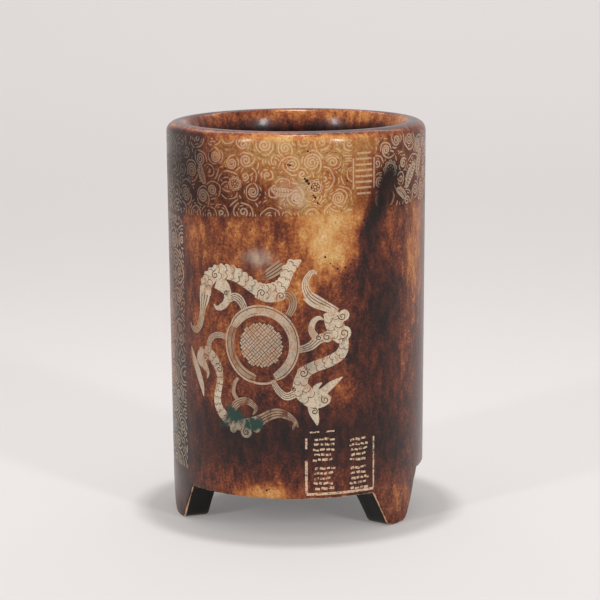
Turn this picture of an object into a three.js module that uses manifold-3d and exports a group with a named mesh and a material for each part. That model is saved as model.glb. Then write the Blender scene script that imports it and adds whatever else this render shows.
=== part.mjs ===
// A stoneware brush pot: one thick-walled cylinder with a rounded lip, standing on three feet
// that are left between openings cut through its foot ring.
// Millimetres, +Z up. The origin is on the ground under the pot's axis, and the front faces -Y.
// Angles are in degrees from the front, growing towards +X.

import * as THREE from 'three';
import { mergeVertices } from 'three/addons/utils/BufferGeometryUtils.js';
import Module from 'manifold-3d';

// Body
const potHeight = 168;
const rimRadius = 55;
const footRadius = 53.9;
const wallThickness = 10.5;
const floorThickness = 10;
const floorFillet = 6;

// Lip: how far in from the outer face its crest lies, and how far down each side it is rounded
const lipCrestInset = 6.2;
const lipOuterDepth = 5.2;
const lipInnerDepth = 10;
const lipOuterFullness = 2.6;
const lipInnerFullness = 2;

// Feet: middles of the three feet, width of a foot on the ground, and how its cut sides spread
const leftFootAngle = -71.2;
const rightFootAngle = 51.2;
const backFootAngle = 170;
const footWidth = 12.2;
const footSpreadAngle = 28;
const footEdgeRadius = 1;

// Openings between the feet, and how far the underside lies above the tallest of them
const frontOpeningHeight = 16.1;
const rightOpeningHeight = 20.5;
const backOpeningHeight = 18;
const undersideClearance = 1.5;
const undersideFillet = 3;

// Fineness of the facets
const turnSteps = 96;
const lipSteps = 8;
const filletSteps = 4;
const cornerSteps = 3;

const wasm = await Module();
wasm.setup();

const shoulderHeight = potHeight - lipOuterDepth;
const crestInset = Math.min(lipCrestInset, 0.6 * wallThickness);
const undersideHeight = undersideClearance
  + Math.max(frontOpeningHeight, rightOpeningHeight, backOpeningHeight);
const floorHeight = undersideHeight + floorThickness;

const openings = [
  { from: leftFootAngle, to: rightFootAngle, height: frontOpeningHeight },
  { from: rightFootAngle, to: backFootAngle, height: rightOpeningHeight },
  { from: backFootAngle, to: leftFootAngle + 360, height: backOpeningHeight },
];

function outerRadius(height) {
  return footRadius + (rimRadius - footRadius) * height / shoulderHeight;
}

function innerRadius(height) {
  return outerRadius(height) - wallThickness;
}

// A quarter of a superellipse about a centre, from one angle to another, in profile coordinates
function roundedCorner(centre, halfWidth, halfHeight, fullness, startAngle, endAngle, steps) {
  const points = [];
  for (let step = 0; step <= steps; step += 1) {
    const angle = THREE.MathUtils.degToRad(startAngle + (endAngle - startAngle) * step / steps);
    const across = Math.cos(angle);
    const up = Math.sin(angle);
    points.push(new THREE.Vector2(
      centre.x + halfWidth * Math.sign(across) * Math.abs(across) ** (2 / fullness),
      centre.y + halfHeight * Math.sign(up) * Math.abs(up) ** (2 / fullness),
    ));
  }
  return points;
}

function roundFillet(x, y, radius, startAngle, endAngle, steps) {
  return roundedCorner(new THREE.Vector2(x, y), radius, radius, 2, startAngle, endAngle, steps);
}

// Half section of the pot, from the middle of the underside round the outside to the floor's middle
function potProfile() {
  const recessRadius = innerRadius(0);
  const recessCorner = innerRadius(undersideHeight);
  const crestRadius = rimRadius - crestInset;
  const boreRadius = innerRadius(shoulderHeight);
  const boreCorner = innerRadius(floorHeight);
  return [
    new THREE.Vector2(0, undersideHeight),
    ...roundFillet(recessCorner - undersideFillet, undersideHeight - undersideFillet,
      undersideFillet, 90, 0, filletSteps),
    ...roundFillet(recessRadius + footEdgeRadius, footEdgeRadius, footEdgeRadius,
      180, 270, cornerSteps),
    ...roundFillet(footRadius - footEdgeRadius, footEdgeRadius, footEdgeRadius,
      270, 360, cornerSteps),
    ...roundedCorner(new THREE.Vector2(crestRadius, shoulderHeight), crestInset, lipOuterDepth,
      lipOuterFullness, 0, 90, lipSteps),
    ...roundedCorner(new THREE.Vector2(crestRadius, potHeight - lipInnerDepth),
      crestRadius - boreRadius, lipInnerDepth, lipInnerFullness, 90, 180, lipSteps).slice(1),
    ...roundFillet(boreCorner - floorFillet, floorHeight + floorFillet, floorFillet,
      360, 270, filletSteps),
    new THREE.Vector2(0, floorHeight),
  ];
}

// Closed three.js geometry to solid, leaving out the empty triangles where a turned shape meets its axis
function toSolid(geometry) {
  geometry.deleteAttribute('normal');
  geometry.deleteAttribute('uv');
  const merged = mergeVertices(geometry);
  const index = merged.index.array;
  const triangles = [];
  for (let i = 0; i < index.length; i += 3) {
    const [a, b, c] = index.subarray(i, i + 3);
    if (a !== b && b !== c && c !== a) {
      triangles.push(a, b, c);
    }
  }
  return new wasm.Manifold(new wasm.Mesh({
    numProp: 3,
    vertProperties: new Float32Array(merged.attributes.position.array),
    triVerts: new Uint32Array(triangles),
  }));
}

function toGeometry(solid) {
  const { vertProperties, triVerts } = solid.getMesh();
  const geometry = new THREE.BufferGeometry();
  geometry.setAttribute('position', new THREE.BufferAttribute(vertProperties, 3));
  geometry.setIndex(new THREE.BufferAttribute(triVerts, 1));
  geometry.computeVertexNormals();
  return geometry;
}

function turnedBody() {
  const geometry = new THREE.LatheGeometry(potProfile(), turnSteps);
  geometry.rotateX(Math.PI / 2);
  return toSolid(geometry);
}

// Wedge from the axis outwards that clears everything below an opening's roof between two feet
function openingWedge({ from, to, height }) {
  const reach = 2 * rimRadius;
  const below = footEdgeRadius / 2;
  const start = THREE.MathUtils.degToRad(from - 90);
  const end = THREE.MathUtils.degToRad(to - 90);
  const outline = new THREE.Shape();
  outline.moveTo(0, 0);
  outline.lineTo(reach * Math.cos(start), reach * Math.sin(start));
  outline.absarc(0, 0, reach, start, end, false);
  outline.closePath();
  const geometry = new THREE.ExtrudeGeometry(outline, {
    depth: height + below,
    bevelEnabled: false,
  });
  geometry.translate(0, 0, -below);
  return toSolid(geometry);
}

// Block that keeps a foot: flat sides that spread upwards, running out parallel to the foot's middle
function footBlock(angle) {
  const spread = Math.tan(THREE.MathUtils.degToRad(footSpreadAngle));
  const top = undersideHeight;
  const bottom = -footEdgeRadius;
  const topHalf = footWidth / 2 + top * spread;
  const bottomHalf = footWidth / 2 + bottom * spread;
  const outline = new THREE.Shape([
    new THREE.Vector2(-bottomHalf, bottom),
    new THREE.Vector2(bottomHalf, bottom),
    new THREE.Vector2(topHalf, top),
    new THREE.Vector2(-topHalf, top),
  ]);
  const geometry = new THREE.ExtrudeGeometry(outline, {
    depth: 2 * rimRadius,
    bevelEnabled: false,
  });
  geometry.rotateX(Math.PI / 2);
  geometry.rotateZ(THREE.MathUtils.degToRad(angle));
  return toSolid(geometry);
}

function brushPot() {
  let waste = openingWedge(openings[0]);
  for (const opening of openings.slice(1)) {
    waste = waste.add(openingWedge(opening));
  }
  for (const angle of [leftFootAngle, rightFootAngle, backFootAngle]) {
    waste = waste.subtract(footBlock(angle));
  }
  const material = new THREE.MeshStandardMaterial({
    color: 0x6a3d24,
    roughness: 0.4,
    metalness: 0,
  });
  const mesh = new THREE.Mesh(toGeometry(turnedBody().subtract(waste)), material);
  mesh.name = 'brush_pot';
  return mesh;
}

const part = new THREE.Group();
part.add(brushPot());

export default part;
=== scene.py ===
"""A stoneware brush pot with flush pale inlay under a mottled brown glaze.

The pot's surface is laid out flat, as an angle round the axis, a height and an inset from the tapered
outer face. The inlay is drawn on that sheet and cut into it, and a Geometry Nodes tree wraps the sheet
into the thick-walled pot.
"""

import sys

import logging
import math
from collections.abc import Callable, Iterable, Sequence
from dataclasses import dataclass, field
from enum import Enum

import bmesh
import bpy
import numpy as np
from mathutils import Matrix, Vector
from mathutils.geometry import delaunay_2d_cdt
from mathutils.kdtree import KDTree


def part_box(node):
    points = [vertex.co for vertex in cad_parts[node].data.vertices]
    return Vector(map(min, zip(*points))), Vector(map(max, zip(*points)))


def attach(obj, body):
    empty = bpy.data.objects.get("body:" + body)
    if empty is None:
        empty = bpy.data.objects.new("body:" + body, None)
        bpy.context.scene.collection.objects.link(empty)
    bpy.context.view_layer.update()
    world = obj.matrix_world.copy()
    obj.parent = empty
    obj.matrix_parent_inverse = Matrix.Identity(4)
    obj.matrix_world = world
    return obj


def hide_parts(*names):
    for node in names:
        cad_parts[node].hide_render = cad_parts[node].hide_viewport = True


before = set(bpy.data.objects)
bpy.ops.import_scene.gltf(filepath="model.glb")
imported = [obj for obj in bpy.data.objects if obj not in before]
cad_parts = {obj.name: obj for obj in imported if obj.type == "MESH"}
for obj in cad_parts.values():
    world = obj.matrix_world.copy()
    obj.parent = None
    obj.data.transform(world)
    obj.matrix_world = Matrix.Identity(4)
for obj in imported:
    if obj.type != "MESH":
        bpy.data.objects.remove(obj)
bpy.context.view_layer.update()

LOG = logging.getLogger("brush_pot")
MM = 0.001
SHEET_RADIUS = 55.0  # millimetres across the flat sheet for one radian round the pot
SEAM_ANGLE = 123.0  # degrees from the front, where the sheet's two sides meet
TURN = 2 * math.pi * SHEET_RADIUS
LONGEST_PIECE = 2.6  # millimetres, of a stroke between two of its points
NARROW_END = 0.3  # how much narrower a stroke's very ends are, and how wide a vein's are, as a share
BAND_TOP = 164.9  # millimetres, the rim band's upper border
SIDE_BANDS = ((-94.0, -59.6), (85.6, 120.0))  # degrees from the front
SIDE_FOOT = 22.5  # millimetres, the side bands' lower border
SIDE_TOP = 130.5  # millimetres
Array = np.ndarray
Socket = bpy.types.NodeSocket
Point = tuple[float, float]
Step = tuple[float, float, float]
Seat = tuple[float, float, float, int]


def across_of(angle: float) -> float:
    """Returns the place across the flat sheet, in millimetres, of an angle in degrees."""
    return math.radians(angle) * SHEET_RADIUS


def turning(angle: float) -> Array:
    """Returns the matrix that turns rows of points anticlockwise by an angle in degrees."""
    cos, sin = math.cos(math.radians(angle)), math.sin(math.radians(angle))
    return np.array([[cos, sin], [-sin, cos]])


def sides_of(path: Array) -> Array:
    """Returns the unit vectors to the left of a path at its points."""
    ahead = np.gradient(path, axis=0)
    ahead /= np.maximum(np.linalg.norm(ahead, axis=1, keepdims=True), 1e-9)
    return np.stack([-ahead[:, 1], ahead[:, 0]], axis=1)


def round_path(centre: Point, reach: Array | float, angle: Array, squeeze: float = 1.0) -> Array:
    """Lays points about a centre.

    Args:
        centre: The centre.
        reach: How far from it each point lies.
        angle: Its direction in radians.
        squeeze: How tall the path is, as a share of a circle.

    Returns:
        The points.
    """
    return np.stack([centre[0] + reach * np.cos(angle), centre[1] + reach * squeeze * np.sin(angle)], axis=1)


def row_at(turns: Array, height: Array | float, inset: Array | float) -> Array:
    """Returns rows of angle, height and inset."""
    return np.stack(np.broadcast_arrays(turns, height, inset), axis=1)


class Tone(Enum):
    """What lies at the surface of the outer wall."""

    GLAZE = 0
    INLAY = 1
    WORN = 2
    LINE = 3
    MARK = 4
    PIT = 5


@dataclass(frozen=True)
class Section:
    """The tones that lie side by side across a stroke.

    The cuts run from -1 at its right edge to 1 at its left one.
    """

    cuts: tuple[float, ...] = (-1, 1)
    tones: tuple[Tone, ...] = (Tone.INLAY,)


PLAIN = Section()
FADED = Section(tones=(Tone.WORN,))
INCISED = Section(tones=(Tone.LINE,))
PAINTED = Section(tones=(Tone.MARK,))
PITTED = Section(tones=(Tone.PIT,))
COMBED = Section((-1, -0.6, -0.44, -0.08, 0.08, 0.44, 0.6, 1),
                 (Tone.INLAY, Tone.LINE, Tone.INLAY, Tone.LINE, Tone.INLAY, Tone.LINE, Tone.INLAY))
COMBED_WORN = Section(COMBED.cuts, tuple(Tone.WORN if t is Tone.INLAY else t for t in COMBED.tones))


@dataclass(frozen=True)
class Stroke:
    """A ribbon on the flat sheet: where its middle runs, its half widths and its section."""

    path: Array
    half: Array
    section: Section = PLAIN

    def moved(self, across: float, up: float = 0.0) -> "Stroke":
        """Returns the same stroke at another place on the sheet."""
        return Stroke(self.path + np.array([across, up]), self.half, self.section)

    def vein(self, half: float, margin: float) -> "Stroke":
        """Returns a thin incised line along the middle of this stroke.

        Args:
            half: Its half width in millimetres.
            margin: The share of this stroke's points that it leaves free at each end.

        Returns:
            The line.
        """
        last = len(self.path) - 1
        path = self.path[int(margin * last):int(round((1 - margin) * last)) + 1]
        widths = np.full(len(path), half)
        widths[[0, -1]] *= NARROW_END
        return Stroke(path, widths, INCISED)


def fine_path(steps: Sequence[Step], section: Section = PLAIN) -> Stroke:
    """Draws a smooth stroke through a few points.

    Args:
        steps: Points with a full width each, in millimetres.
        section: The stroke's section.

    Returns:
        The stroke, with more points where it bends more.
    """
    knots = np.array(steps, float)
    knots = np.vstack([2 * knots[0] - knots[1], knots, 2 * knots[-1] - knots[-2]])
    share = np.linspace(0, 1, 16, endpoint=False)[:, None]
    spans = []
    for before, start, end, after in zip(knots, knots[1:], knots[2:], knots[3:]):
        spans.append(0.5 * (2 * start + (end - before) * share
                            + (2 * before - 5 * start + 4 * end - after) * share ** 2
                            + (3 * start - before - 3 * end + after) * share ** 3))
    line = np.vstack([*spans, knots[-2]])
    ends = np.array(steps, float)[:, 2]
    line[:, 2] = np.clip(line[:, 2], ends.min(), ends.max()) / 2
    return thinned(line[:, :2], line[:, 2], section)


def thinned(path: Array, half: Array, section: Section = PLAIN, slack: float = 0.05) -> Stroke:
    """Keeps as many points of a densely drawn line as its bends need.

    Args:
        path: Points along the line.
        half: The half width at each of them.
        section: The stroke's section.
        slack: How far a straight piece may leave the line at the stroke's outer edge.

    Returns:
        The stroke.
    """
    legs = np.diff(path, axis=0)
    lengths = np.maximum(np.linalg.norm(legs, axis=1), 1e-9)
    heading = np.unwrap(np.arctan2(legs[:, 1], legs[:, 0]))
    bend = np.abs(np.gradient(heading)) / lengths if len(lengths) > 1 else np.zeros(1)
    outer = 1 / np.maximum(bend, 1e-6) + half[1:]
    wanted = lengths * (bend / np.sqrt(8 * slack / outer) + 1 / LONGEST_PIECE)
    run = np.concatenate([[0], np.cumsum(wanted)])
    count = max(2, int(math.ceil(run[-1])) + 1)
    places = np.linspace(0, run[-1], count)
    points = np.stack([np.interp(places, run, path[:, axis]) for axis in (0, 1)], axis=1)
    return Stroke(points, np.interp(places, run, half), section)


def curl(centre: Point, radius: float, start: float, hand: int) -> Stroke:
    """Draws an incised spiral from its outer end inwards.

    Args:
        centre: The spiral's middle.
        radius: Its radius at the outer end.
        start: The direction of the outer end, in degrees.
        hand: 1 to turn anticlockwise on the way in and -1 to turn clockwise.

    Returns:
        The stroke.
    """
    turns, width, inner = 1.25, 0.4, 0.4
    tail = math.radians(25)  # how far it runs on before the spiral, opening out
    angle = np.linspace(-tail, turns * 2 * math.pi, 89)
    inwards = np.clip(angle / (turns * 2 * math.pi), 0, 1)
    reach = radius + (inner - radius) * inwards ** 0.9
    reach = reach + np.where(angle < 0, (angle / tail) ** 2 * 0.55 * radius, 0)
    path = round_path(centre, reach, math.radians(start) + hand * angle)
    return thinned(path, tapered(len(path), width / 2), INCISED)


def arc(centre: Point, radius: float, start: float, sweep: float, width: float,
        section: Section = INCISED, squeeze: float = 1.0) -> Stroke:
    """Draws part of a circle, or of an oval that is squeeze times as tall.

    Args:
        centre: Its middle.
        radius: Its half width.
        start: Where it starts, in degrees.
        sweep: How far it turns, in degrees, anticlockwise if positive.
        width: The stroke's full width.
        section: Its section.
        squeeze: Its height as a share of its width.

    Returns:
        The stroke.
    """
    angle = np.radians(np.linspace(start, start + sweep, max(8, int(abs(sweep) / 5))))
    path = round_path(centre, radius, angle, squeeze)
    return thinned(path, tapered(len(path), width / 2), section)


def tapered(count: int, half: float, ends: float = NARROW_END) -> Array:
    """Works out half widths that narrow over a stroke's last points.

    Args:
        count: How many points the stroke has.
        half: The half width between its ends.
        ends: The share of it that the very ends take off.

    Returns:
        The half width at each point.
    """
    place = np.linspace(0, 1, count)
    rise = np.clip(np.minimum(place, 1 - place) / 0.06, 0, 1)
    return half * (1 - ends * (1 - rise))


def disc(centre: Point, radius: float, sides: int, section: Section = PLAIN) -> Stroke:
    """Draws a filled round spot as a short stroke.

    Args:
        centre: Its middle.
        radius: Its radius.
        sides: About how many sides its outline has.
        section: Its section.

    Returns:
        The stroke.
    """
    turn = np.linspace(0.06, math.pi - 0.06, max(4, sides // 2 + 1))
    path = np.stack([centre[0] - radius * np.cos(turn), np.full(len(turn), centre[1])], axis=1)
    return Stroke(path, radius * np.sin(turn), section)


def straight(start: Point, end: Point, width: float, section: Section = PLAIN) -> Stroke:
    """Draws a straight stroke from one point to another, of a full width."""
    count = max(2, int(math.dist(start, end) / LONGEST_PIECE) + 1)
    return Stroke(np.linspace(start, end, count), np.full(count, width / 2), section)


@dataclass(frozen=True)
class PotForm:
    """Sizes of the pot in millimetres, which are those of the solid that it stands for."""

    height: float
    rim_radius: float
    foot_radius: float = 53.9
    wall: float = 10.5
    floor_thickness: float = 10.0
    floor_fillet: float = 6.0
    lip_crest_inset: float = 6.2
    lip_outer_depth: float = 5.2
    lip_inner_depth: float = 10.0
    lip_outer_fullness: float = 2.6
    underside: float = 22.0
    underside_fillet: float = 3.0
    face_rise: float = 2.6

    @property
    def shoulder(self) -> float:
        """Returns the height where the outer face starts to turn into the lip."""
        return self.height - self.lip_outer_depth

    @property
    def face_top(self) -> float:
        """Returns the height where the inlaid face ends, a little way over the lip."""
        return self.shoulder + self.face_rise

    def outer(self, height: Array | float) -> Array | float:
        """Returns the tapered outer face's radius at a height."""
        return self.foot_radius + (self.rim_radius - self.foot_radius) * height / self.shoulder

    def face_inset(self, height: Array | float) -> Array:
        """Finds how far in from the tapered face the inlaid one lies.

        Args:
            height: The height of each place.

        Returns:
            The inset at each of them, which is nothing below the lip.
        """
        power = self.lip_outer_fullness
        share = np.clip((height - self.shoulder) / self.lip_outer_depth, 0, 1)
        radius = self.rim_radius - self.lip_crest_inset * (1 - (1 - share ** power) ** (1 / power))
        return np.where(share > 0, self.outer(height) - radius, 0.0)

    def face_slope(self, height: Array) -> tuple[Array, Array]:
        """Finds which way the inlaid face's normal points.

        Args:
            height: The height of each place.

        Returns:
            How far out and how far up it points.
        """
        power = self.lip_outer_fullness
        share = np.clip((height - self.shoulder) / self.lip_outer_depth, 0, 1)
        outwards = (1 - share ** power) ** ((power - 1) / power) / self.lip_crest_inset
        upwards = share ** (power - 1) / self.lip_outer_depth
        taper = (self.rim_radius - self.foot_radius) / self.shoulder
        return outwards, np.where(share > 0, upwards, -taper * outwards)

    def recess_inset(self, height: Array) -> Array:
        """Returns how far in the recess under the pot lies, with its fillet under the floor."""
        over = np.clip(height - (self.underside - self.underside_fillet), 0, self.underside_fillet)
        return self.wall + self.underside_fillet - np.sqrt(self.underside_fillet ** 2 - over ** 2)

    def profile(self) -> list[Point]:
        """Returns (height, radius) points from above the inlaid face over the lip to the floor's middle."""
        points: list[Point] = []
        crest = self.rim_radius - self.lip_crest_inset
        power = 2 / self.lip_outer_fullness
        first = math.asin((self.face_rise / self.lip_outer_depth) ** (1 / power))
        for turn in np.linspace(first, math.pi / 2, 10)[1:]:
            points.append((self.shoulder + self.lip_outer_depth * math.sin(turn) ** power,
                           crest + self.lip_crest_inset * max(math.cos(turn), 0) ** power))
        bore = self.rim_radius - self.wall
        bend = self.height - self.lip_inner_depth
        for turn in np.linspace(math.pi / 2, 0, 10)[1:]:
            points.append((bend + self.lip_inner_depth * math.sin(turn),
                           crest - (crest - bore) * math.cos(turn)))
        floor = self.underside + self.floor_thickness
        low = floor + self.floor_fillet
        for height in np.linspace(bend, low, 30)[1:]:
            points.append((height, self.outer(height) - self.wall))
        corner = self.outer(floor) - self.wall - self.floor_fillet
        for turn in np.linspace(0, math.pi / 2, 6)[1:]:
            points.append((low - self.floor_fillet * math.sin(turn),
                           corner + self.floor_fillet * math.cos(turn)))
        for radius in np.linspace(corner, 0, 9)[1:-1]:
            points.append((floor, radius))
        return points


@dataclass(frozen=True)
class Foot:
    """One foot, with the heights of the openings before and after it, going round."""

    angle: float
    roof_before: float
    roof_after: float


@dataclass(frozen=True)
class FootRing:
    """The pot's lower edge: three feet and the openings cut between them, in millimetres."""

    form: PotForm
    foot_width: float = 12.2
    spread: float = 28.0
    seam_roof: float = 20.5
    feet: tuple[Foot, ...] = (Foot(-190, 20.5, 18), Foot(-71.2, 18, 16.1), Foot(51.2, 16.1, 20.5))
    edge: float = 0.7
    sole_lift: float = 0.9
    sole_power: int = 8
    worn_least: float = 0.6
    worn_swing: float = 0.8
    chips: int = 16
    chip_least: float = 0.3
    chip_most: float = 0.9
    side_steps: int = 9
    sole_steps: int = 7
    roof_step: float = 2.1
    roof_spare: int = 9

    def loop(self, depth: Array | float, inset: float) -> Array:
        """Lays one line round the lower edge.

        Args:
            depth: How far inside the clay it lies from the cut faces, at each of its points.
            inset: How far in from the outer face it lies.

        Returns:
            Rows of angle in radians, height and inset, from one side of the seam to the other.
        """
        slope = math.tan(math.radians(self.spread))
        lean = 1 / math.cos(math.radians(self.spread))
        depth = np.broadcast_to(depth, self.count()).astype(float)
        rows: list[Step] = []

        def side(foot: Foot, height: float, hand: int, share: float = 1.0) -> Step:
            """Finds a point across a foot.

            Args:
                foot: The foot.
                height: The point's height on the cut face.
                hand: -1 for the side before the foot's middle and 1 for the one after it.
                share: How far out it lies, up to 1 at the cut side.

            Returns:
                Its angle in radians, height and inset.
            """
            deep = depth[min(len(rows), len(depth) - 1)]
            rise = height + deep
            half = (self.foot_width / 2 + rise * slope - deep * lean) * share
            lift = self.sole_lift * abs(share) ** self.sole_power if height == 0 else 0.0
            inwards = self._inset_at(rise, inset)
            radius = self.form.outer(rise) - inwards
            return math.radians(foot.angle) + hand * math.asin(half / radius), rise + lift, inwards

        def roof(start: float, end: float, height: float, count: int) -> None:
            """Adds the points between two angles along an opening's roof.

            Args:
                start: The first angle in radians.
                end: The last angle in radians.
                height: The roof's height.
                count: How many points it gets.
            """
            for share in np.linspace(0, 1, count + 2)[1:-1]:
                rise = height + depth[min(len(rows), len(depth) - 1)]
                rows.append((start + (end - start) * share, rise, self._inset_at(rise, inset)))

        seam = math.radians(SEAM_ANGLE)
        seam_rise = self.seam_roof + depth[0]
        seam_inset = self._inset_at(seam_rise, inset)
        rows.append((seam - 2 * math.pi, seam_rise, seam_inset))
        before = rows[0][0]
        for foot, count in zip(self.feet, self._roof_counts()):
            roof(before, side(foot, foot.roof_before, -1)[0], foot.roof_before, count)
            for height in np.linspace(foot.roof_before, 0, self.side_steps)[:-1]:
                rows.append(side(foot, height, -1))
            for share in np.linspace(-1, 1, self.sole_steps):
                rows.append(side(foot, 0, 1, share))
            for height in np.linspace(0, foot.roof_after, self.side_steps)[1:]:
                rows.append(side(foot, height, 1))
            before = rows[-1][0]
        roof(before, seam, self.seam_roof, self._roof_counts()[-1])
        rows.append((seam, seam_rise, seam_inset))
        return np.array(rows)

    def _inset_at(self, rise: float, inset: float) -> float:
        """Moves a point inwards where the recess narrows towards the underside.

        Args:
            rise: The point's height.
            inset: How far in from the outer face its line lies.

        Returns:
            The point's inset.
        """
        if rise > self.form.underside - self.form.underside_fillet and inset > self.form.wall / 2:
            return inset + float(self.form.recess_inset(rise)) - self.form.wall
        return inset

    def _roof_counts(self) -> list[int]:
        """Returns how many points each stretch of roof has between its ends."""
        marks = [SEAM_ANGLE - 360, *(foot.angle for foot in self.feet), SEAM_ANGLE]
        return [max(3, int(across_of(end - start) / self.roof_step) - self.roof_spare)
                for start, end in zip(marks, marks[1:])]

    def count(self) -> int:
        """Returns how many points a loop has."""
        each = 2 * (self.side_steps - 1) + self.sole_steps
        return 2 + sum(self._roof_counts()) + each * len(self.feet)

    def wear(self, seed: int) -> Array:
        """Wears the outer edge, with a few small chips.

        Args:
            seed: The seed of the random draws.

        Returns:
            How far the edge is rounded at each point.
        """
        draw = np.random.default_rng(seed)
        rough = draw.random(self.count() - 1)
        smooth = sum(np.roll(rough, shift) for shift in (-1, 0, 1)) / 3
        worn = self.edge * (self.worn_least + self.worn_swing * smooth)
        for place in draw.integers(4, self.count() - 4, self.chips):
            worn[place] += draw.uniform(self.chip_least, self.chip_most)
        return np.append(worn, worn[0])


@dataclass
class Sheet:
    """Points of the pot's flat layout, with the faces and tones that lie on them."""

    points: list[Array] = field(default_factory=list)
    faces: list[tuple[int, ...]] = field(default_factory=list)
    tones: list[int] = field(default_factory=list)
    walls: list[Array] = field(default_factory=list)
    size: int = 0

    def add_points(self, rows: Array, wall: bool = False) -> int:
        """Adds points.

        Args:
            rows: Angle in radians, height and inset of each point, in millimetres.
            wall: Whether they lie on the inlaid outer face.

        Returns:
            The number of the first of them.
        """
        first = self.size
        self.points.append(rows)
        self.walls.append(np.full(len(rows), float(wall)))
        self.size += len(rows)
        return first

    def add_rows(self, rows: Sequence[Array], flip: bool, pole: Step) -> None:
        """Adds a surface between rows of points that run round the pot.

        Args:
            rows: Rows of as many points each, from one side of the seam to the other.
            flip: Whether the rows lead down from the outer face, and not up.
            pole: The point on the axis that closes the last row.
        """
        starts = [self.add_points(row) for row in rows]
        around = len(rows[0]) - 1
        for low, high in zip(starts, starts[1:]):
            for step in range(around):
                face = (low + step, low + step + 1, high + step + 1, high + step)
                self.add_face(face[::-1] if flip else face)
        top = self.add_points(np.array([pole]))
        for step in range(around):
            face = (starts[-1] + step, starts[-1] + step + 1, top)
            self.add_face(face[::-1] if flip else face)

    def add_face(self, face: tuple[int, ...], tone: Tone = Tone.GLAZE) -> None:
        """Adds one face with its tone."""
        self.faces.append(face)
        self.tones.append(tone.value)


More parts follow.
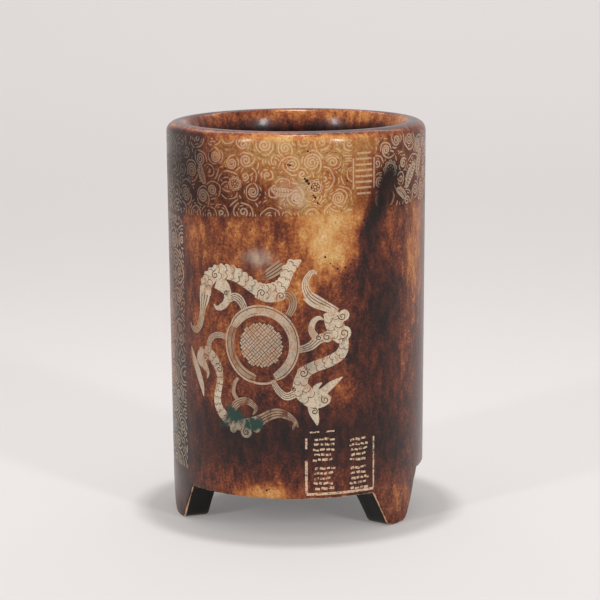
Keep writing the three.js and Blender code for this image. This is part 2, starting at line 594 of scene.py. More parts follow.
class OuterWall:
    """The inlaid outer face, with the strokes of the inlay cut into it. Lengths are in millimetres."""

    FOOT_MARGIN = 0.35
    TOP_MARGIN = 0.3
    FILLER_MARGIN = 1.0
    FILLER_CLEARANCE = 0.45  # as a share of the grain
    SLIVER = 1e-4  # twice the area below which a triangle is left out
    SIDE_POINTS = 61

    def __init__(self, form: PotForm, edge: Array, around: int, grain: float = 2.3) -> None:
        """Takes the face's outline.

        Args:
            form: The pot's sizes.
            edge: The lower border, as rows of angle, height and inset.
            around: How many steps the upper border has.
            grain: The spacing of the plain glaze's points, in millimetres.
        """
        self.form = form
        self.edge = np.stack([edge[:, 0] * SHEET_RADIUS, edge[:, 1]], axis=1)
        self.around = around
        self.grain = grain
        self.vertices: list[Point] = []
        self.cells: list[tuple[int, ...]] = []
        self.cell_tones: list[Tone] = []

    def draw(self, strokes: Iterable[Stroke]) -> None:
        """Draws strokes on the sheet, and again a turn away where they cross the seam.

        Args:
            strokes: The strokes, of which later ones cover earlier ones.
        """
        left, right = self.edge[0, 0], self.edge[-1, 0]
        for stroke in strokes:
            low = (stroke.path[:, 0] - stroke.half).min()
            high = (stroke.path[:, 0] + stroke.half).max()
            if low < right and high > left:
                self._lay(stroke)
            if low < left:
                self._lay(stroke.moved(TURN))
            if high > right:
                self._lay(stroke.moved(-TURN))

    def _lay(self, stroke: Stroke) -> None:
        """Adds a stroke's cells, apart from those that leave the face at its top or foot.

        Args:
            stroke: The stroke.
        """
        offset = sides_of(stroke.path) * stroke.half[:, None]
        rails = [stroke.path + offset * cut for cut in stroke.section.cuts]
        stack = np.array(rails)
        floor = np.interp(stack[..., 0], self.edge[:, 0], self.edge[:, 1]) + self.FOOT_MARGIN
        ceiling = self.form.face_top - self.TOP_MARGIN
        inside = ((stack[..., 1] > floor) & (stack[..., 1] < ceiling)).all(axis=0)
        first = len(self.vertices)
        count = len(stroke.path)
        for rail in rails:
            self.vertices.extend(map(tuple, rail))
        for band, tone in enumerate(stroke.section.tones):
            low = first + band * count
            for step in range(count - 1):
                if inside[step] and inside[step + 1]:
                    corners = (low + step, low + step + 1, low + count + step + 1, low + count + step)
                    self._add_cell(corners, tone)

    def _add_cell(self, corners: tuple[int, ...], tone: Tone) -> None:
        """Adds a four-cornered cell, as two triangles where it isn't a plain convex one.

        Args:
            corners: The numbers of its corners among the strokes' points.
            tone: What it shows.
        """
        places = [self.vertices[corner] for corner in corners]
        turns = []
        for step in range(4):
            (ax, ay), (bx, by), (cx, cy) = (places[(step + k) % 4] for k in range(3))
            turns.append((bx - ax) * (cy - by) - (by - ay) * (cx - bx))
        if min(turns) > self.SLIVER:
            self.cells.append(corners)
            self.cell_tones.append(tone)
        elif max(turns) < -self.SLIVER:
            self.cells.append(corners[::-1])
            self.cell_tones.append(tone)
        else:
            for trio in ((0, 1, 2), (0, 2, 3)):
                (ax, ay), (bx, by), (cx, cy) = (places[k] for k in trio)
                area = (bx - ax) * (cy - ay) - (by - ay) * (cx - ax)
                if abs(area) > self.SLIVER:
                    chosen = tuple(corners[k] for k in trio)
                    self.cells.append(chosen if area > 0 else chosen[::-1])
                    self.cell_tones.append(tone)

    def add_to(self, sheet: Sheet) -> None:
        """Cuts the face along the strokes and adds it to the sheet.

        Args:
            sheet: The sheet.
        """
        border = self._border()
        drawn = np.array(self.vertices).reshape(-1, 2)
        used = sorted({corner for cell in self.cells for corner in cell})
        renumber = {old: new + len(border) for new, old in enumerate(used)}
        drawn = drawn[used] if used else drawn
        filler = self._filler(np.vstack([border, drawn]))
        places = [Vector(place) for place in np.vstack([border, drawn, filler])]
        regions = [list(range(len(border)))]
        regions += [[renumber[corner] for corner in cell] for cell in self.cells]
        found = delaunay_2d_cdt(places, [], regions, 0, 1e-5, True)
        corners, triangles, owners = found[0], found[2], found[5]
        flat = np.array([tuple(corner) for corner in corners])
        rows = row_at(flat[:, 0] / SHEET_RADIUS, flat[:, 1], self.form.face_inset(flat[:, 1]))
        first = sheet.add_points(rows, wall=True)
        for triangle, owner in zip(triangles, owners):
            if 0 in owner:
                top = max(owner)
                tone = self.cell_tones[top - 1] if top else Tone.GLAZE
                sheet.add_face(tuple(first + corner for corner in triangle), tone)

    def _border(self) -> Array:
        """Returns the face's outline, anticlockwise from the lower left corner."""
        top = self.form.face_top
        left, right = self.edge[0], self.edge[-1]
        heights = np.linspace(right[1], top, self.SIDE_POINTS + 2)[1:-1]
        across = np.linspace(right[0], left[0], self.around + 1)
        return np.vstack([
            self.edge,
            np.stack([np.full(len(heights), right[0]), heights], axis=1),
            np.stack([across, np.full(len(across), top)], axis=1),
            np.stack([np.full(len(heights), left[0]), heights[::-1]], axis=1),
        ])

    def _filler(self, taken: Array) -> Array:
        """Spreads points evenly over the plain glaze.

        Args:
            taken: The points that are there, which the others stay clear of.

        Returns:
            The points.
        """
        tree = KDTree(len(taken))
        for number, place in enumerate(taken):
            tree.insert((place[0], place[1], 0), number)
        tree.balance()
        left, right = self.edge[0, 0], self.edge[-1, 0]
        points = []
        row_height = self.grain * math.sqrt(3) / 2
        for row in range(int(self.form.face_top / row_height) + 1):
            height = 2 + row * row_height
            shift = self.grain / 2 if row % 2 else 0
            for across in np.arange(left + self.grain + shift, right - self.grain, self.grain):
                floor = np.interp(across, self.edge[:, 0], self.edge[:, 1]) + self.FILLER_MARGIN
                clear = floor < height < self.form.face_top - self.FILLER_MARGIN
                if clear and tree.find((across, height, 0))[2] > self.FILLER_CLEARANCE * self.grain:
                    points.append((across, height))
        return np.array(points)


class Canvas:
    """Remembers which parts of a stretch of the flat sheet are drawn on. Lengths are in millimetres."""

    CELL = 0.2
    ROOM = 0.08  # what a stroke needs free beside it
    MARGIN = 0.2  # what it keeps free beside it afterwards

    def __init__(self, left: float, right: float, bottom: float, top: float) -> None:
        """Takes the stretch's borders in millimetres."""
        self.left, self.bottom = left, bottom
        self.used = np.zeros((int((top - bottom) / self.CELL) + 2, int((right - left) / self.CELL) + 2), bool)

    def _cells(self, places: Array) -> tuple[Array, Array, Array]:
        """Finds the cells of places.

        Args:
            places: The places, on the last axis.

        Returns:
            Their rows, their columns and whether they lie on the canvas.
        """
        columns = np.floor((places[..., 0] - self.left) / self.CELL).astype(int)
        rows = np.floor((places[..., 1] - self.bottom) / self.CELL).astype(int)
        inside = (columns >= 0) & (rows >= 0) & (rows < self.used.shape[0]) & (columns < self.used.shape[1])
        return np.where(inside, rows, 0), np.where(inside, columns, 0), inside

    def clear(self, path: Array, half: float) -> Array:
        """Finds where there is room for a stroke.

        Args:
            path: The points along its middle.
            half: Half of the width that it needs.

        Returns:
            Whether each point is clear over the whole width.
        """
        side = sides_of(path) * half
        rows, columns, inside = self._cells(np.stack([path - side, path, path + side]))
        return (inside & ~self.used[rows, columns]).all(axis=0)

    def mark(self, path: Array, reach: float) -> None:
        """Marks what lies near a line as drawn on.

        Args:
            path: The line's points.
            reach: How far from them it marks.
        """
        steps = int(math.ceil(reach / self.CELL))
        span = np.arange(-steps, steps + 1) * self.CELL
        grid = np.array([(x, y) for x in span for y in span if x * x + y * y <= reach * reach])
        rows, columns, inside = self._cells(path[:, None, :] + grid[None, :, :])
        self.used[rows[inside], columns[inside]] = True

    def grow(self, path: Array, width: float, least: float, anywhere: bool = False) -> Stroke | None:
        """Draws as much of a line as has room.

        Args:
            path: The line's points, closely spaced.
            width: The stroke's full width.
            least: The shortest stroke worth drawing.
            anywhere: Whether it may start anywhere on the line, and not only at its first point.

        Returns:
            The stroke, or None where there is no room.
        """
        clear = self.clear(path, width / 2 + self.ROOM)
        edges = np.flatnonzero(np.diff(np.concatenate([[0], clear.astype(int), [0]])))
        runs = [(start, end) for start, end in zip(edges[::2], edges[1::2]) if anywhere or start == 0]
        if not runs:
            return None
        start, end = max(runs, key=lambda run: run[1] - run[0])
        line = path[start:end]
        if len(line) < 4 or np.linalg.norm(np.diff(line, axis=0), axis=1).sum() < least:
            return None
        self.mark(line, width / 2 + self.MARGIN)
        return thinned(line, tapered(len(line), width / 2, 0.6), slack=0.07)


class Bloom(Enum):
    """What a motif in the scroll shows."""

    FLOWER = "flower"
    LEAF = "leaf"


@dataclass(frozen=True)
class Motif:
    """A flower or leaf in the scroll, by its middle, size and tilt in degrees."""

    bloom: Bloom
    angle: float
    height: float
    size: float
    tilt: float = 0.0

    def strokes(self) -> list[Stroke]:
        """Returns the motif's strokes."""
        middle = np.array([across_of(self.angle), self.height])
        return self._leaf(middle) if self.bloom is Bloom.LEAF else self._flower(middle)

    def _leaf(self, middle: Array) -> list[Stroke]:
        """Draws a bowed leaf with a vein along it and others across.

        Args:
            middle: Its middle on the sheet.

        Returns:
            Its strokes.
        """
        turn = turning(self.tilt)
        share = np.linspace(-1, 1, 40)
        line = np.stack([share, 0.22 * (1 - share ** 2)], axis=1) * self.size
        body = thinned(middle + line @ turn, 0.38 * self.size * (1 - share ** 2) ** 0.6 + 0.05)
        made = [body, body.vein(0.15, 0.1)]
        for place in np.linspace(-0.7, 0.7, 7):
            root = np.array([place, 0.22 * (1 - place ** 2)]) * self.size
            reach = 0.3 * self.size * (1 - place ** 2) ** 0.6
            for hand in (-1, 1):
                tip = root + np.array([0.5, hand]) * reach
                made.append(straight(tuple(middle + root @ turn), tuple(middle + tip @ turn), 0.24, INCISED))
        return made

    def _flower(self, middle: Array) -> list[Stroke]:
        """Draws a flower of rounded petals about a dark eye ringed with dots.

        Args:
            middle: Its middle on the sheet.

        Returns:
            Its strokes.
        """
        made = []
        petals, dots = 9, 7
        for petal in range(petals):
            turn = math.radians(self.tilt) + petal * 2 * math.pi / petals
            seat = middle + np.array([math.cos(turn), math.sin(turn)]) * self.size * 0.76
            made.append(disc(tuple(seat), self.size * 0.3, 10))
            made.append(arc(tuple(seat), self.size * 0.14, math.degrees(turn) - 100, 200, 0.26))
        made.append(disc(tuple(middle), self.size * 0.6, 16, INCISED))
        for spot in range(dots):
            turn = math.radians(self.tilt + 20) + spot * 2 * math.pi / dots
            seat = middle + np.array([math.cos(turn), math.sin(turn)]) * self.size * 0.4
            made.append(disc(tuple(seat), self.size * 0.12, 6))
        made.append(disc(tuple(middle), self.size * 0.16, 8))
        return made


@dataclass(frozen=True)
class ScrollField:
    """A stretch of wall filled with fine inlaid lines that swirl about many middles, in millimetres.

    Where it is lined, the second ring about each curl is a dark incised line.
    """

    left: float
    right: float
    top: float
    seed: int
    foot: Callable[[float], float]
    pitch: float = 8.6
    ribbon: float = 0.6
    spacing: float = 1.05
    rings: int = 4
    motifs: tuple[Motif, ...] = ()
    lined: bool = False

    def strokes(self) -> list[Stroke]:
        """Returns the field's strokes."""
        draw = np.random.default_rng(self.seed)
        low = min(self.foot(across) for across in np.linspace(self.left, self.right, 40))
        canvas = Canvas(self.left, self.right, low, self.top)
        self._close_foot(canvas, low)
        made: list[Stroke] = []
        for motif in self.motifs:
            middle = np.array([[across_of(motif.angle), motif.height]])
            if self.left < middle[0, 0] < self.right:
                made += motif.strokes()
                canvas.mark(middle, motif.size * (1.15 if motif.bloom is Bloom.FLOWER else 0.62))
        seats = self._seats(draw, low)
        for seat in seats:
            made += self._curl(canvas, draw, *seat)
        for ring in range(1, self.rings + 1):
            for across, height, radius, hand in seats:
                arcs = self._around(canvas, draw, (across, height), radius + ring * self.spacing, hand)
                if self.lined and ring == 2:
                    arcs = [Stroke(found.path, 0.6 * found.half, INCISED) for found in arcs]
                made += arcs
        return made + self._fill(canvas, draw, low, seats)

    def _close_foot(self, canvas: Canvas, low: float) -> None:
        """Marks what lies under the field's lower border as drawn on.

        Args:
            canvas: The canvas.
            low: The canvas's lower border.
        """
        for across in np.arange(self.left, self.right, canvas.CELL):
            heights = np.arange(low, self.foot(across), canvas.CELL)
            if len(heights):
                canvas.mark(np.stack([np.full(len(heights), across), heights], axis=1), 0.05)

    def _seats(self, draw: np.random.Generator, low: float) -> list[Seat]:
        """Places the curls in staggered rows, each a little off its seat.

        Args:
            draw: The random draws.
            low: The lowest row's height, nearly.

        Returns:
            Their middles, radii and turning senses.
        """
        seats = []
        row_height = self.pitch * 0.84
        for row, height in enumerate(np.arange(low + 0.4 * self.pitch, self.top, row_height)):
            start = self.left + self.pitch * (0.5 if row % 2 else 0.15)
            for column, across in enumerate(np.arange(start, self.right, self.pitch)):
                jitter = draw.uniform(-0.3, 0.3, 2) * self.pitch
                radius = draw.uniform(0.12, 0.42) * self.pitch
                hand = 1 if (row + column) % 2 else -1
                seats.append((across + jitter[0], height + jitter[1], radius, hand))
        return seats

    def _curl(self, canvas: Canvas, draw: np.random.Generator, across: float, height: float,
              radius: float, hand: int) -> list[Stroke]:
        """Draws one curl that grows from its middle until it meets something.

        Args:
            canvas: What is drawn so far.
            draw: The random draws.
            across: The middle's place across the sheet.
            height: The middle's height.
            radius: The curl's radius.
            hand: 1 to turn anticlockwise on the way out and -1 to turn clockwise.

        Returns:
            The curl, or nothing where there is no room.
        """
        turns = radius / self.spacing * draw.uniform(0.75, 1.0)
        angle = np.linspace(0, turns * 2 * math.pi, 130)
        reach = 0.3 + (radius - 0.3) * angle / angle[-1]
        tail = np.linspace(0, math.radians(draw.uniform(60, 150)), 40)[1:]
        angle = np.concatenate([angle, angle[-1] + tail])
        reach = np.concatenate([reach, radius + 1.1 * self.spacing * (tail / 1.5) ** 2])
        path = round_path((across, height), reach, draw.uniform(0, 2 * math.pi) + hand * angle)
        stroke = canvas.grow(path, self.ribbon * draw.uniform(0.9, 1.35), 2.5)
        return [] if stroke is None else [stroke]

    def _around(self, canvas: Canvas, draw: np.random.Generator, middle: Point, reach: float,
                hand: int) -> list[Stroke]:
        """Draws as many as three arcs of a wavering ring about a curl.

        Args:
            canvas: What is drawn so far.
            draw: The random draws.
            middle: The curl's middle.
            reach: The ring's radius.
            hand: The way that it is followed, 1 for anticlockwise.

        Returns:
            The arcs that have room.
        """
        start, sway = draw.uniform(0, 2 * math.pi, 2)
        sweep = start + hand * np.radians(np.linspace(0, 350, 150))
        wide = reach * (1 + 0.1 * np.sin(2 * sweep + sway) + 0.03 * np.sin(5 * sweep - sway))
        path = round_path(middle, wide, sweep)
        width = self.ribbon * draw.uniform(0.8, 1.15)
        made = [canvas.grow(path, width, 1.6, anywhere=True) for _ in range(3)]
        return [stroke for stroke in made if stroke is not None]

    def _fill(self, canvas: Canvas, draw: np.random.Generator, low: float,
              seats: Sequence[Seat]) -> list[Stroke]:
        """Draws short lines in the room that is left, bent about the nearest curl.

        Args:
            canvas: What is drawn so far.
            draw: The random draws.
            low: The lower border.
            seats: The curls.

        Returns:
            The lines.
        """
        made = []
        middles = np.array([seat[:2] for seat in seats])
        for _ in range(int((self.right - self.left) * (self.top - low) * 0.9)):
            place = np.array([draw.uniform(self.left, self.right), draw.uniform(low, self.top)])
            middle = middles[np.argmin(np.linalg.norm(middles - place, axis=1))]
            away = place - middle
            reach = max(0.8, float(np.linalg.norm(away)))
            half = draw.uniform(0.7, 2.6) / reach
            sweep = math.atan2(away[1], away[0]) + np.linspace(-half, half, 24)
            stroke = canvas.grow(round_path(middle, reach, sweep), self.ribbon * 0.9, 0.9, anywhere=True)
            if stroke is not None:
                made.append(stroke)
        return made


@dataclass(frozen=True)
class Limb:
    """One inlaid shape of a creature, as a smooth stroke through a few points with their widths.

    The points are in millimetres from the roundel's middle.
    """

    steps: tuple[Step, ...]
    section: Section = PLAIN
    scales: float = 0.0
    crest: float = 0.0

    def strokes(self) -> list[Stroke]:
        """Returns the shape, with the bumps of its crest and the scales across it."""
        body = fine_path(self.steps, self.section)
        return [*self._bumps(body), body, *self._scales(body)]

    def _seats(self, body: Stroke, spacing: float) -> list[tuple[Array, Array, float]]:
        """Finds evenly spaced places along the body.

        Args:
            body: The body.
            spacing: How far apart they lie.

        Returns:
            Each place, with the body's direction and half width there.
        """
        run = np.concatenate([[0], np.cumsum(np.linalg.norm(np.diff(body.path, axis=0), axis=1))])
        ahead = np.gradient(body.path, axis=0)
        seats = []
        for place in np.arange(spacing * 0.8, run[-1] - spacing * 0.8, spacing):
            at, way = (np.array([np.interp(place, run, part[:, axis]) for axis in (0, 1)])
                       for part in (body.path, ahead))
            seats.append((at, way / np.linalg.norm(way), float(np.interp(place, run, body.half))))
        return seats

    def _bumps(self, body: Stroke) -> list[Stroke]:
        """Draws the round bumps along one edge of the body.

        Args:
            body: The body.

        Returns:
            The bumps.
        """
        if not self.crest:
            return []
        hand = math.copysign(1.0, self.crest)
        made = []
        for at, way, half in self._seats(body, abs(self.crest)):
            seat = at + np.array([-way[1], way[0]]) * hand * half * 0.78
            made.append(disc(tuple(seat), abs(self.crest) * 0.5, 12))
        return made

    def _scales(self, body: Stroke) -> list[Stroke]:
        """Draws the incised pairs of arcs across the body.

        Args:
            body: The body.

        Returns:
            The arcs.
        """
        if not self.scales:
            return []
        made = []
        for at, way, half in self._seats(body, self.scales):
            facing = math.degrees(math.atan2(way[1], way[0]))
            for hand in (-1, 1):
                seat = at + np.array([-way[1], way[0]]) * hand * half * 0.48
                made.append(arc(tuple(seat), half * 0.48, facing - 85, 170, 0.26))
        return made


@dataclass(frozen=True)
class Creature:
    """A long scaled creature of the roundel: its shapes, its spirals and the spots of its bumps.

    A spiral is a middle, a radius, the direction of its outer end and its turning sense.
    """

    limbs: tuple[Limb, ...]
    spirals: tuple[tuple[float, float, float, float, int], ...] = ()
    spots: tuple[Step, ...] = ()

    def strokes(self) -> list[Stroke]:
        """Returns the creature's strokes about the roundel's middle."""
        made = [disc((across, up), radius, 16) for across, up, radius in self.spots]
        for limb in self.limbs:
            made += limb.strokes()
        for across, up, radius, start, hand in self.spirals:
            made.append(disc((across, up), radius + 0.25, 14))
            made.append(curl((across, up), radius, start, hand))
        return made


UPPER_CREATURE = Creature(
    limbs=(
        Limb(((0, 27.6, 1.4), (3.5, 29.4, 4.2), (9.5, 33.6, 5)), COMBED_WORN),
        Limb(((-15, 17.5, 2.4), (-12, 19.4, 3.2), (-9.5, 18.7, 3.6), (-7.8, 16.5, 3.2),
              (-7, 14.4, 2.6)), COMBED),
        Limb(((9, 21.5, 4), (11.6, 21.5, 4), (13.4, 19.3, 3.4), (13.4, 16, 3.2),
              (11.7, 12.6, 2.6)), COMBED_WORN),
        Limb(((-20.5, 25, 6), (-16.8, 23.3, 5.6), (-14.9, 20.5, 3.8), (-15.4, 17.2, 3.2), (-17.6, 14.9, 2.8),
              (-20.3, 13.9, 1.8), (-22, 15.4, 0.7))),
        Limb(((-37, 6, 0.5), (-36.2, 4.1, 1.4), (-33, 3.2, 2.6), (-30.3, 6.5, 3), (-28.8, 12, 3),
              (-27.6, 17, 5.6), (-26.8, 22, 6.4)), COMBED),
        Limb(((-2, 21.2, 3), (3, 19.9, 4), (8, 20.4, 4))),
        Limb(((-26.6, 19, 5.6), (-25.4, 24.6, 6.2), (-19.5, 28.8, 5.8), (-12.5, 29, 5.8), (-7.5, 26.8, 5.4),
              (-3.6, 24.3, 5), (1, 22.2, 5.8), (5.6, 22.6, 6), (9.2, 25, 4.8), (11, 28.2, 4.2),
              (12, 31.3, 4.6), (13.8, 33.4, 4.4), (17, 35.4, 0.8)), PLAIN, 3.4, 2.6),
    ),
    spirals=((0.6, 21.6, 1.8, 200, -1), (8.6, 20.6, 1.7, 200, -1), (-21.2, 27.6, 1.7, 100, 1),
             (-15.6, 20.6, 1.0, 60, 1)),
)

RIGHT_CREATURE = Creature(
    limbs=(
        Limb(((23.5, 29.4, 0.5), (22, 30.6, 1.6), (20, 29, 2.2), (18.6, 25.4, 2.8), (20, 21.2, 3.8),
              (23.6, 18.2, 4.6), (28, 16, 3.4), (32, 13.6, 3)), COMBED),
        Limb(((18, 19.6, 0.8), (21.4, 16.9, 1.5), (27, 14.9, 1.8), (32, 13.4, 2.4))),
        Limb(((15.5, -19.2, 3.4), (11, -21.2, 3.2), (8, -19.5, 2.8), (6, -16.9, 2.4), (5, -14.4, 2)), COMBED),
        Limb(((27.5, 3.5, 3.6), (24, 2.5, 4), (21, 0, 3.6), (17.5, -1.3, 3), (14.8, -1.5, 2.6)), COMBED),
        Limb(((23.6, 2.6, 3.2), (21.2, 6, 2.8), (21.7, 9.5, 2.4), (24, 11.4, 1.8), (26.2, 10.6, 0.6))),
        Limb(((20, -20.6, 3.4), (25.5, -19.6, 3.4), (29.6, -16.6, 3), (34.3, -13.8, 0.5))),
        Limb(((22, -20, 2.8), (23.2, -17.2, 2.2), (25.4, -15.7, 0.6))),
        Limb(((21.4, -23.5, 4.6), (21.8, -27.5, 4), (23, -31, 2.6), (23.4, -33.4, 0.6))),
        Limb(((22.5, -25, 3.2), (26, -23.4, 4.4), (28.6, -21.2, 2.4))),
        Limb(((28.6, 14, 5.4), (30.6, 9.5, 8), (32.2, 4.8, 7), (35, 0.5, 4.2), (34, -3.5, 4.8),
              (30.5, -6, 4.8), (26.5, -7.5, 4.8), (22, -9, 4.8), (18.3, -11.2, 5.2), (16.6, -14.8, 5.8),
              (17, -18.2, 7.4), (19.6, -21.6, 7), (22.6, -24.6, 5)), PLAIN, 3.5),
    ),
    spirals=((34.2, 11.6, 1.7, 190, 1), (34.9, 4.4, 2.3, 250, 1), (27.6, 3.4, 1.8, 60, 1),
             (24.2, 3.2, 1.1, 110, 1), (17.7, -11.4, 2.0, 60, -1), (26.8, -22.9, 1.7, 150, 1),
             (22.2, -27.6, 1.5, 110, -1), (13.8, -18.2, 0.9, 100, 1)),
    spots=((35, 12, 2.4), (35.2, 4.5, 3), (27.7, 3.4, 2.3), (17.6, -11.3, 2.6), (27, -22.9, 2.1)),
)

LOWER_CREATURE = Creature(
    limbs=(
        Limb(((-10.4, -24.2, 1.6), (-12.6, -21, 1.8), (-12.2, -17, 1.8), (-10.4, -14.4, 1.2)), FADED),
        Limb(((-25.4, -4, 2.6), (-24.6, 0, 2.4), (-21.6, 2.4, 2.4), (-18, 2.7, 2.4),
              (-14.6, 1.8, 2.2)), COMBED),
        Limb(((-13.4, -28, 3.2), (-11, -25.2, 3.4), (-7, -23.8, 3), (-4, -25, 2.4), (-2.5, -27, 1.6),
              (-3.8, -29.4, 0.5)), COMBED_WORN),
        Limb(((-36.8, -4.6, 0.6), (-34.8, -9.5, 2.6), (-33, -13, 3.2), (-31.2, -17, 3.2), (-29.8, -20.5, 2.4),
              (-29, -24.4, 0.5))),
        Limb(((-28.2, -4.6, 4.4), (-30.2, -8.5, 5.6), (-27.8, -11.5, 3.2), (-26, -14, 1.5),
              (-26.6, -16.4, 0.5))),
        Limb(((-28, -4.6, 4.2), (-23.8, -6.6, 4.8), (-20.6, -10.5, 4.2), (-19.4, -15, 3.3), (-20, -19, 3.3),
              (-21, -24, 3.7), (-20.1, -28, 4), (-17.2, -31.4, 4.4), (-13, -33.6, 4.6), (-8, -34.1, 5.2),
              (-3, -32.6, 4.8), (0.5, -31, 4.4)), PLAIN, 2.9),
        Limb(((-0.5, -31.4, 4.2), (4.4, -28.8, 4.2), (8, -28.3, 3.8), (11.5, -29.6, 2.8), (14.2, -31.8, 1.6),
              (15.4, -34.2, 0.6)), COMBED_WORN),
        Limb(((14.6, -32, 1), (13.6, -33.6, 1.2), (13.2, -35.2, 0.5)), FADED),
    ),
    spirals=((-19.7, -11.6, 1.6, 80, -1), (-7, -37, 1.5, 120, 1), (-27.6, -7.4, 1.3, 40, 1)),
    spots=((-7, -37, 2.5), (-13, -36.3, 1.6), (-2.4, -35.2, 1.7)),
)


@dataclass(frozen=True)
class Roundel:
    """The roundel: a woven disc in a ring, with creatures running round it, in millimetres."""

    angle: float
    height: float
    creatures: tuple[Creature, ...]
    turns: tuple[float, ...] = (0.0, 0.0, 0.0)
    ring_radius: float = 14.1
    ring_width: float = 4.3
    ring_rise: float = 1.03
    weave_radius: float = 9.7
    weave_margin: float = 0.15
    cell: float = 2.2
    gap: float = 0.23
    shortest: float = 0.5

    def strokes(self) -> list[Stroke]:
        """Returns the roundel's strokes at its place on the wall."""
        made = [*self._weave()]
        for creature, turn in zip(self.creatures, self.turns):
            made += [Stroke(stroke.path @ turning(turn), stroke.half, stroke.section)
                     for stroke in creature.strokes()]
        made += self._ring()
        return [stroke.moved(across_of(self.angle), self.height) for stroke in made]

    def _ring(self) -> list[Stroke]:
        """Returns the ring, pale round the top and right and worn at the lower left."""
        pale = Section((-1, -0.66, -0.5, 1), (Tone.INLAY, Tone.LINE, Tone.INLAY))
        worn = Section((-1, -0.62, -0.48, 0.3, 0.46, 1),
                       (Tone.INLAY, Tone.LINE, Tone.WORN, Tone.LINE, Tone.WORN))
        middle = (0.0, 0.0)
        made = [arc(middle, self.ring_radius, -66, 218, self.ring_width, pale, self.ring_rise),
                arc(middle, self.ring_radius, 151, 109, self.ring_width, worn, self.ring_rise),
                arc(middle, self.ring_radius + 1.6, 258, 36, 0.9, PLAIN, self.ring_rise)]
        for start in (20, 95, 140):
            made.append(arc(middle, self.ring_radius - 1.3, start, 22, 0.22, INCISED, self.ring_rise))
        return made

    def _weave(self) -> list[Stroke]:
        """Returns the basket weave: pairs of pale strands, turned cell by cell, on a dark disc."""
        made = [disc((0.0, 0.0), self.weave_radius, 40, INCISED)]
        reach = int(self.weave_radius / self.cell) + 1
        slant = np.array([1, 1]) / math.sqrt(2)
        rise = np.array([-1, 1]) / math.sqrt(2)
        long, wide = self.cell / 2 - self.gap / 2, self.cell / 2 - self.gap
        for column in range(-reach, reach + 1):
            for row in range(-reach, reach + 1):
                seat = (slant * column + rise * row) * self.cell
                along, side = (slant, rise) if (row + column) % 2 else (rise, slant)
                for hand in (-1, 1):
                    middle = seat + side * hand * self.cell / 4
                    aside, ahead = float(middle @ side), float(middle @ along)
                    room = (self.weave_radius - self.weave_margin) ** 2 - (abs(aside) + wide / 2) ** 2
                    limit = max(0.0, room) ** 0.5
                    low, high = max(-limit, ahead - long), min(limit, ahead + long)
                    if high - low > self.shortest:
                        ends = [side * aside + along * place for place in (low, high)]
                        made.append(straight(tuple(ends[0]), tuple(ends[1]), wide))
        return made


@dataclass(frozen=True)
class MarkPanel:
    """The framed panel low on the front, with rows of short strokes in two columns, in millimetres."""

    left: float = 3.6
    right: float = 35.4
    bottom: float = 18.2
    top: float = 44.5
    line: float = 1.1
    rows: int = 5
    row_pitch: float = 2.15
    row_width: float = 8.2
    block_pitch: float = 12.2
    first_row: float = 3.2
    seed: int = 17

    def strokes(self) -> list[Stroke]:
        """Returns the frame and the rows."""
        left, right = across_of(self.left), across_of(self.right)
        made = [
            straight((left, self.bottom + 0.6), (left, self.bottom + 14.5), self.line, PAINTED),
            straight((left, self.top - 7), (left, self.top - 2.5), self.line * 0.8, PAINTED),
            straight((left, self.bottom), (right, self.bottom), self.line, PAINTED),
            straight((right, self.bottom + 0.4), (right, self.top - 4), self.line * 0.7, PAINTED),
            straight((left + 1.5, self.top), (left + 5.5, self.top + 0.1), self.line * 0.6, PAINTED),
            straight((left + 8, self.top + 0.1), (left + 12, self.top + 0.2), self.line * 0.6, PAINTED),
        ]
        draw = np.random.default_rng(self.seed)
        column = (right - left) / 2
        for side in (0, 1):
            for block in (0, 1):
                centre = left + column * (side + 0.5) + (0.5 if side else -0.3)
                top = self.top - self.first_row - block * self.block_pitch - side * 0.9
                for row in range(self.rows):
                    made += self._row(draw, centre, top - row * self.row_pitch)
        return made

    def _row(self, draw: np.random.Generator, centre: float, height: float) -> list[Stroke]:
        """Draws one row of short, nearly level strokes of uneven lengths.

        Args:
            draw: The random draws.
            centre: The row's middle across the sheet.
            height: Its height.

        Returns:
            The strokes.
        """
        start = centre - self.row_width / 2 + draw.uniform(-0.5, 0.5)
        made = []
        while start < centre + self.row_width / 2 - 0.8:
            length = draw.uniform(1.2, 2.6)
            lift = draw.uniform(-0.28, 0.28)
            drop = draw.uniform(-0.2, 0.2)
            width = draw.uniform(0.75, 1.1)
            ends = ((start, height + drop - lift), (start + length, height + drop + lift))
            made.append(straight(*ends, width, PAINTED))
            start += length + draw.uniform(0.35, 0.7)
        return made


@dataclass(frozen=True)
class BarMedallion:
    """A medallion of level bars between two uprights in the rim band, in millimetres."""

    angle: float = 30.0
    top: float = 159.0
    width: float = 8.0
    bars: int = 8
    pitch: float = 2.35
    bar_width: float = 0.85
    upright_width: float = 0.7
    upright_gap: float = 0.9
    margin: float = 1.4

    @property
    def reach(self) -> float:
        """Returns half of the width that the scroll leaves free for the medallion."""
        return self.width / 2 + self.margin

    def strokes(self) -> list[Stroke]:
        """Returns the bars and the uprights."""
        middle = across_of(self.angle)
        made = []
        for bar in range(self.bars):
            share = math.sin(math.pi * (bar + 0.8) / (self.bars + 0.6)) ** 0.5
            half = self.width / 2 * (0.55 + 0.45 * share)
            height = self.top - bar * self.pitch
            made.append(straight((middle - half, height), (middle + half, height), self.bar_width))
        low = self.top - (self.bars - 1) * self.pitch
        for hand in (-1, 1):
            across = middle + hand * (self.width / 2 + self.upright_gap)
            made.append(straight((across, low + 2), (across, self.top - 2), self.upright_width))
        return made


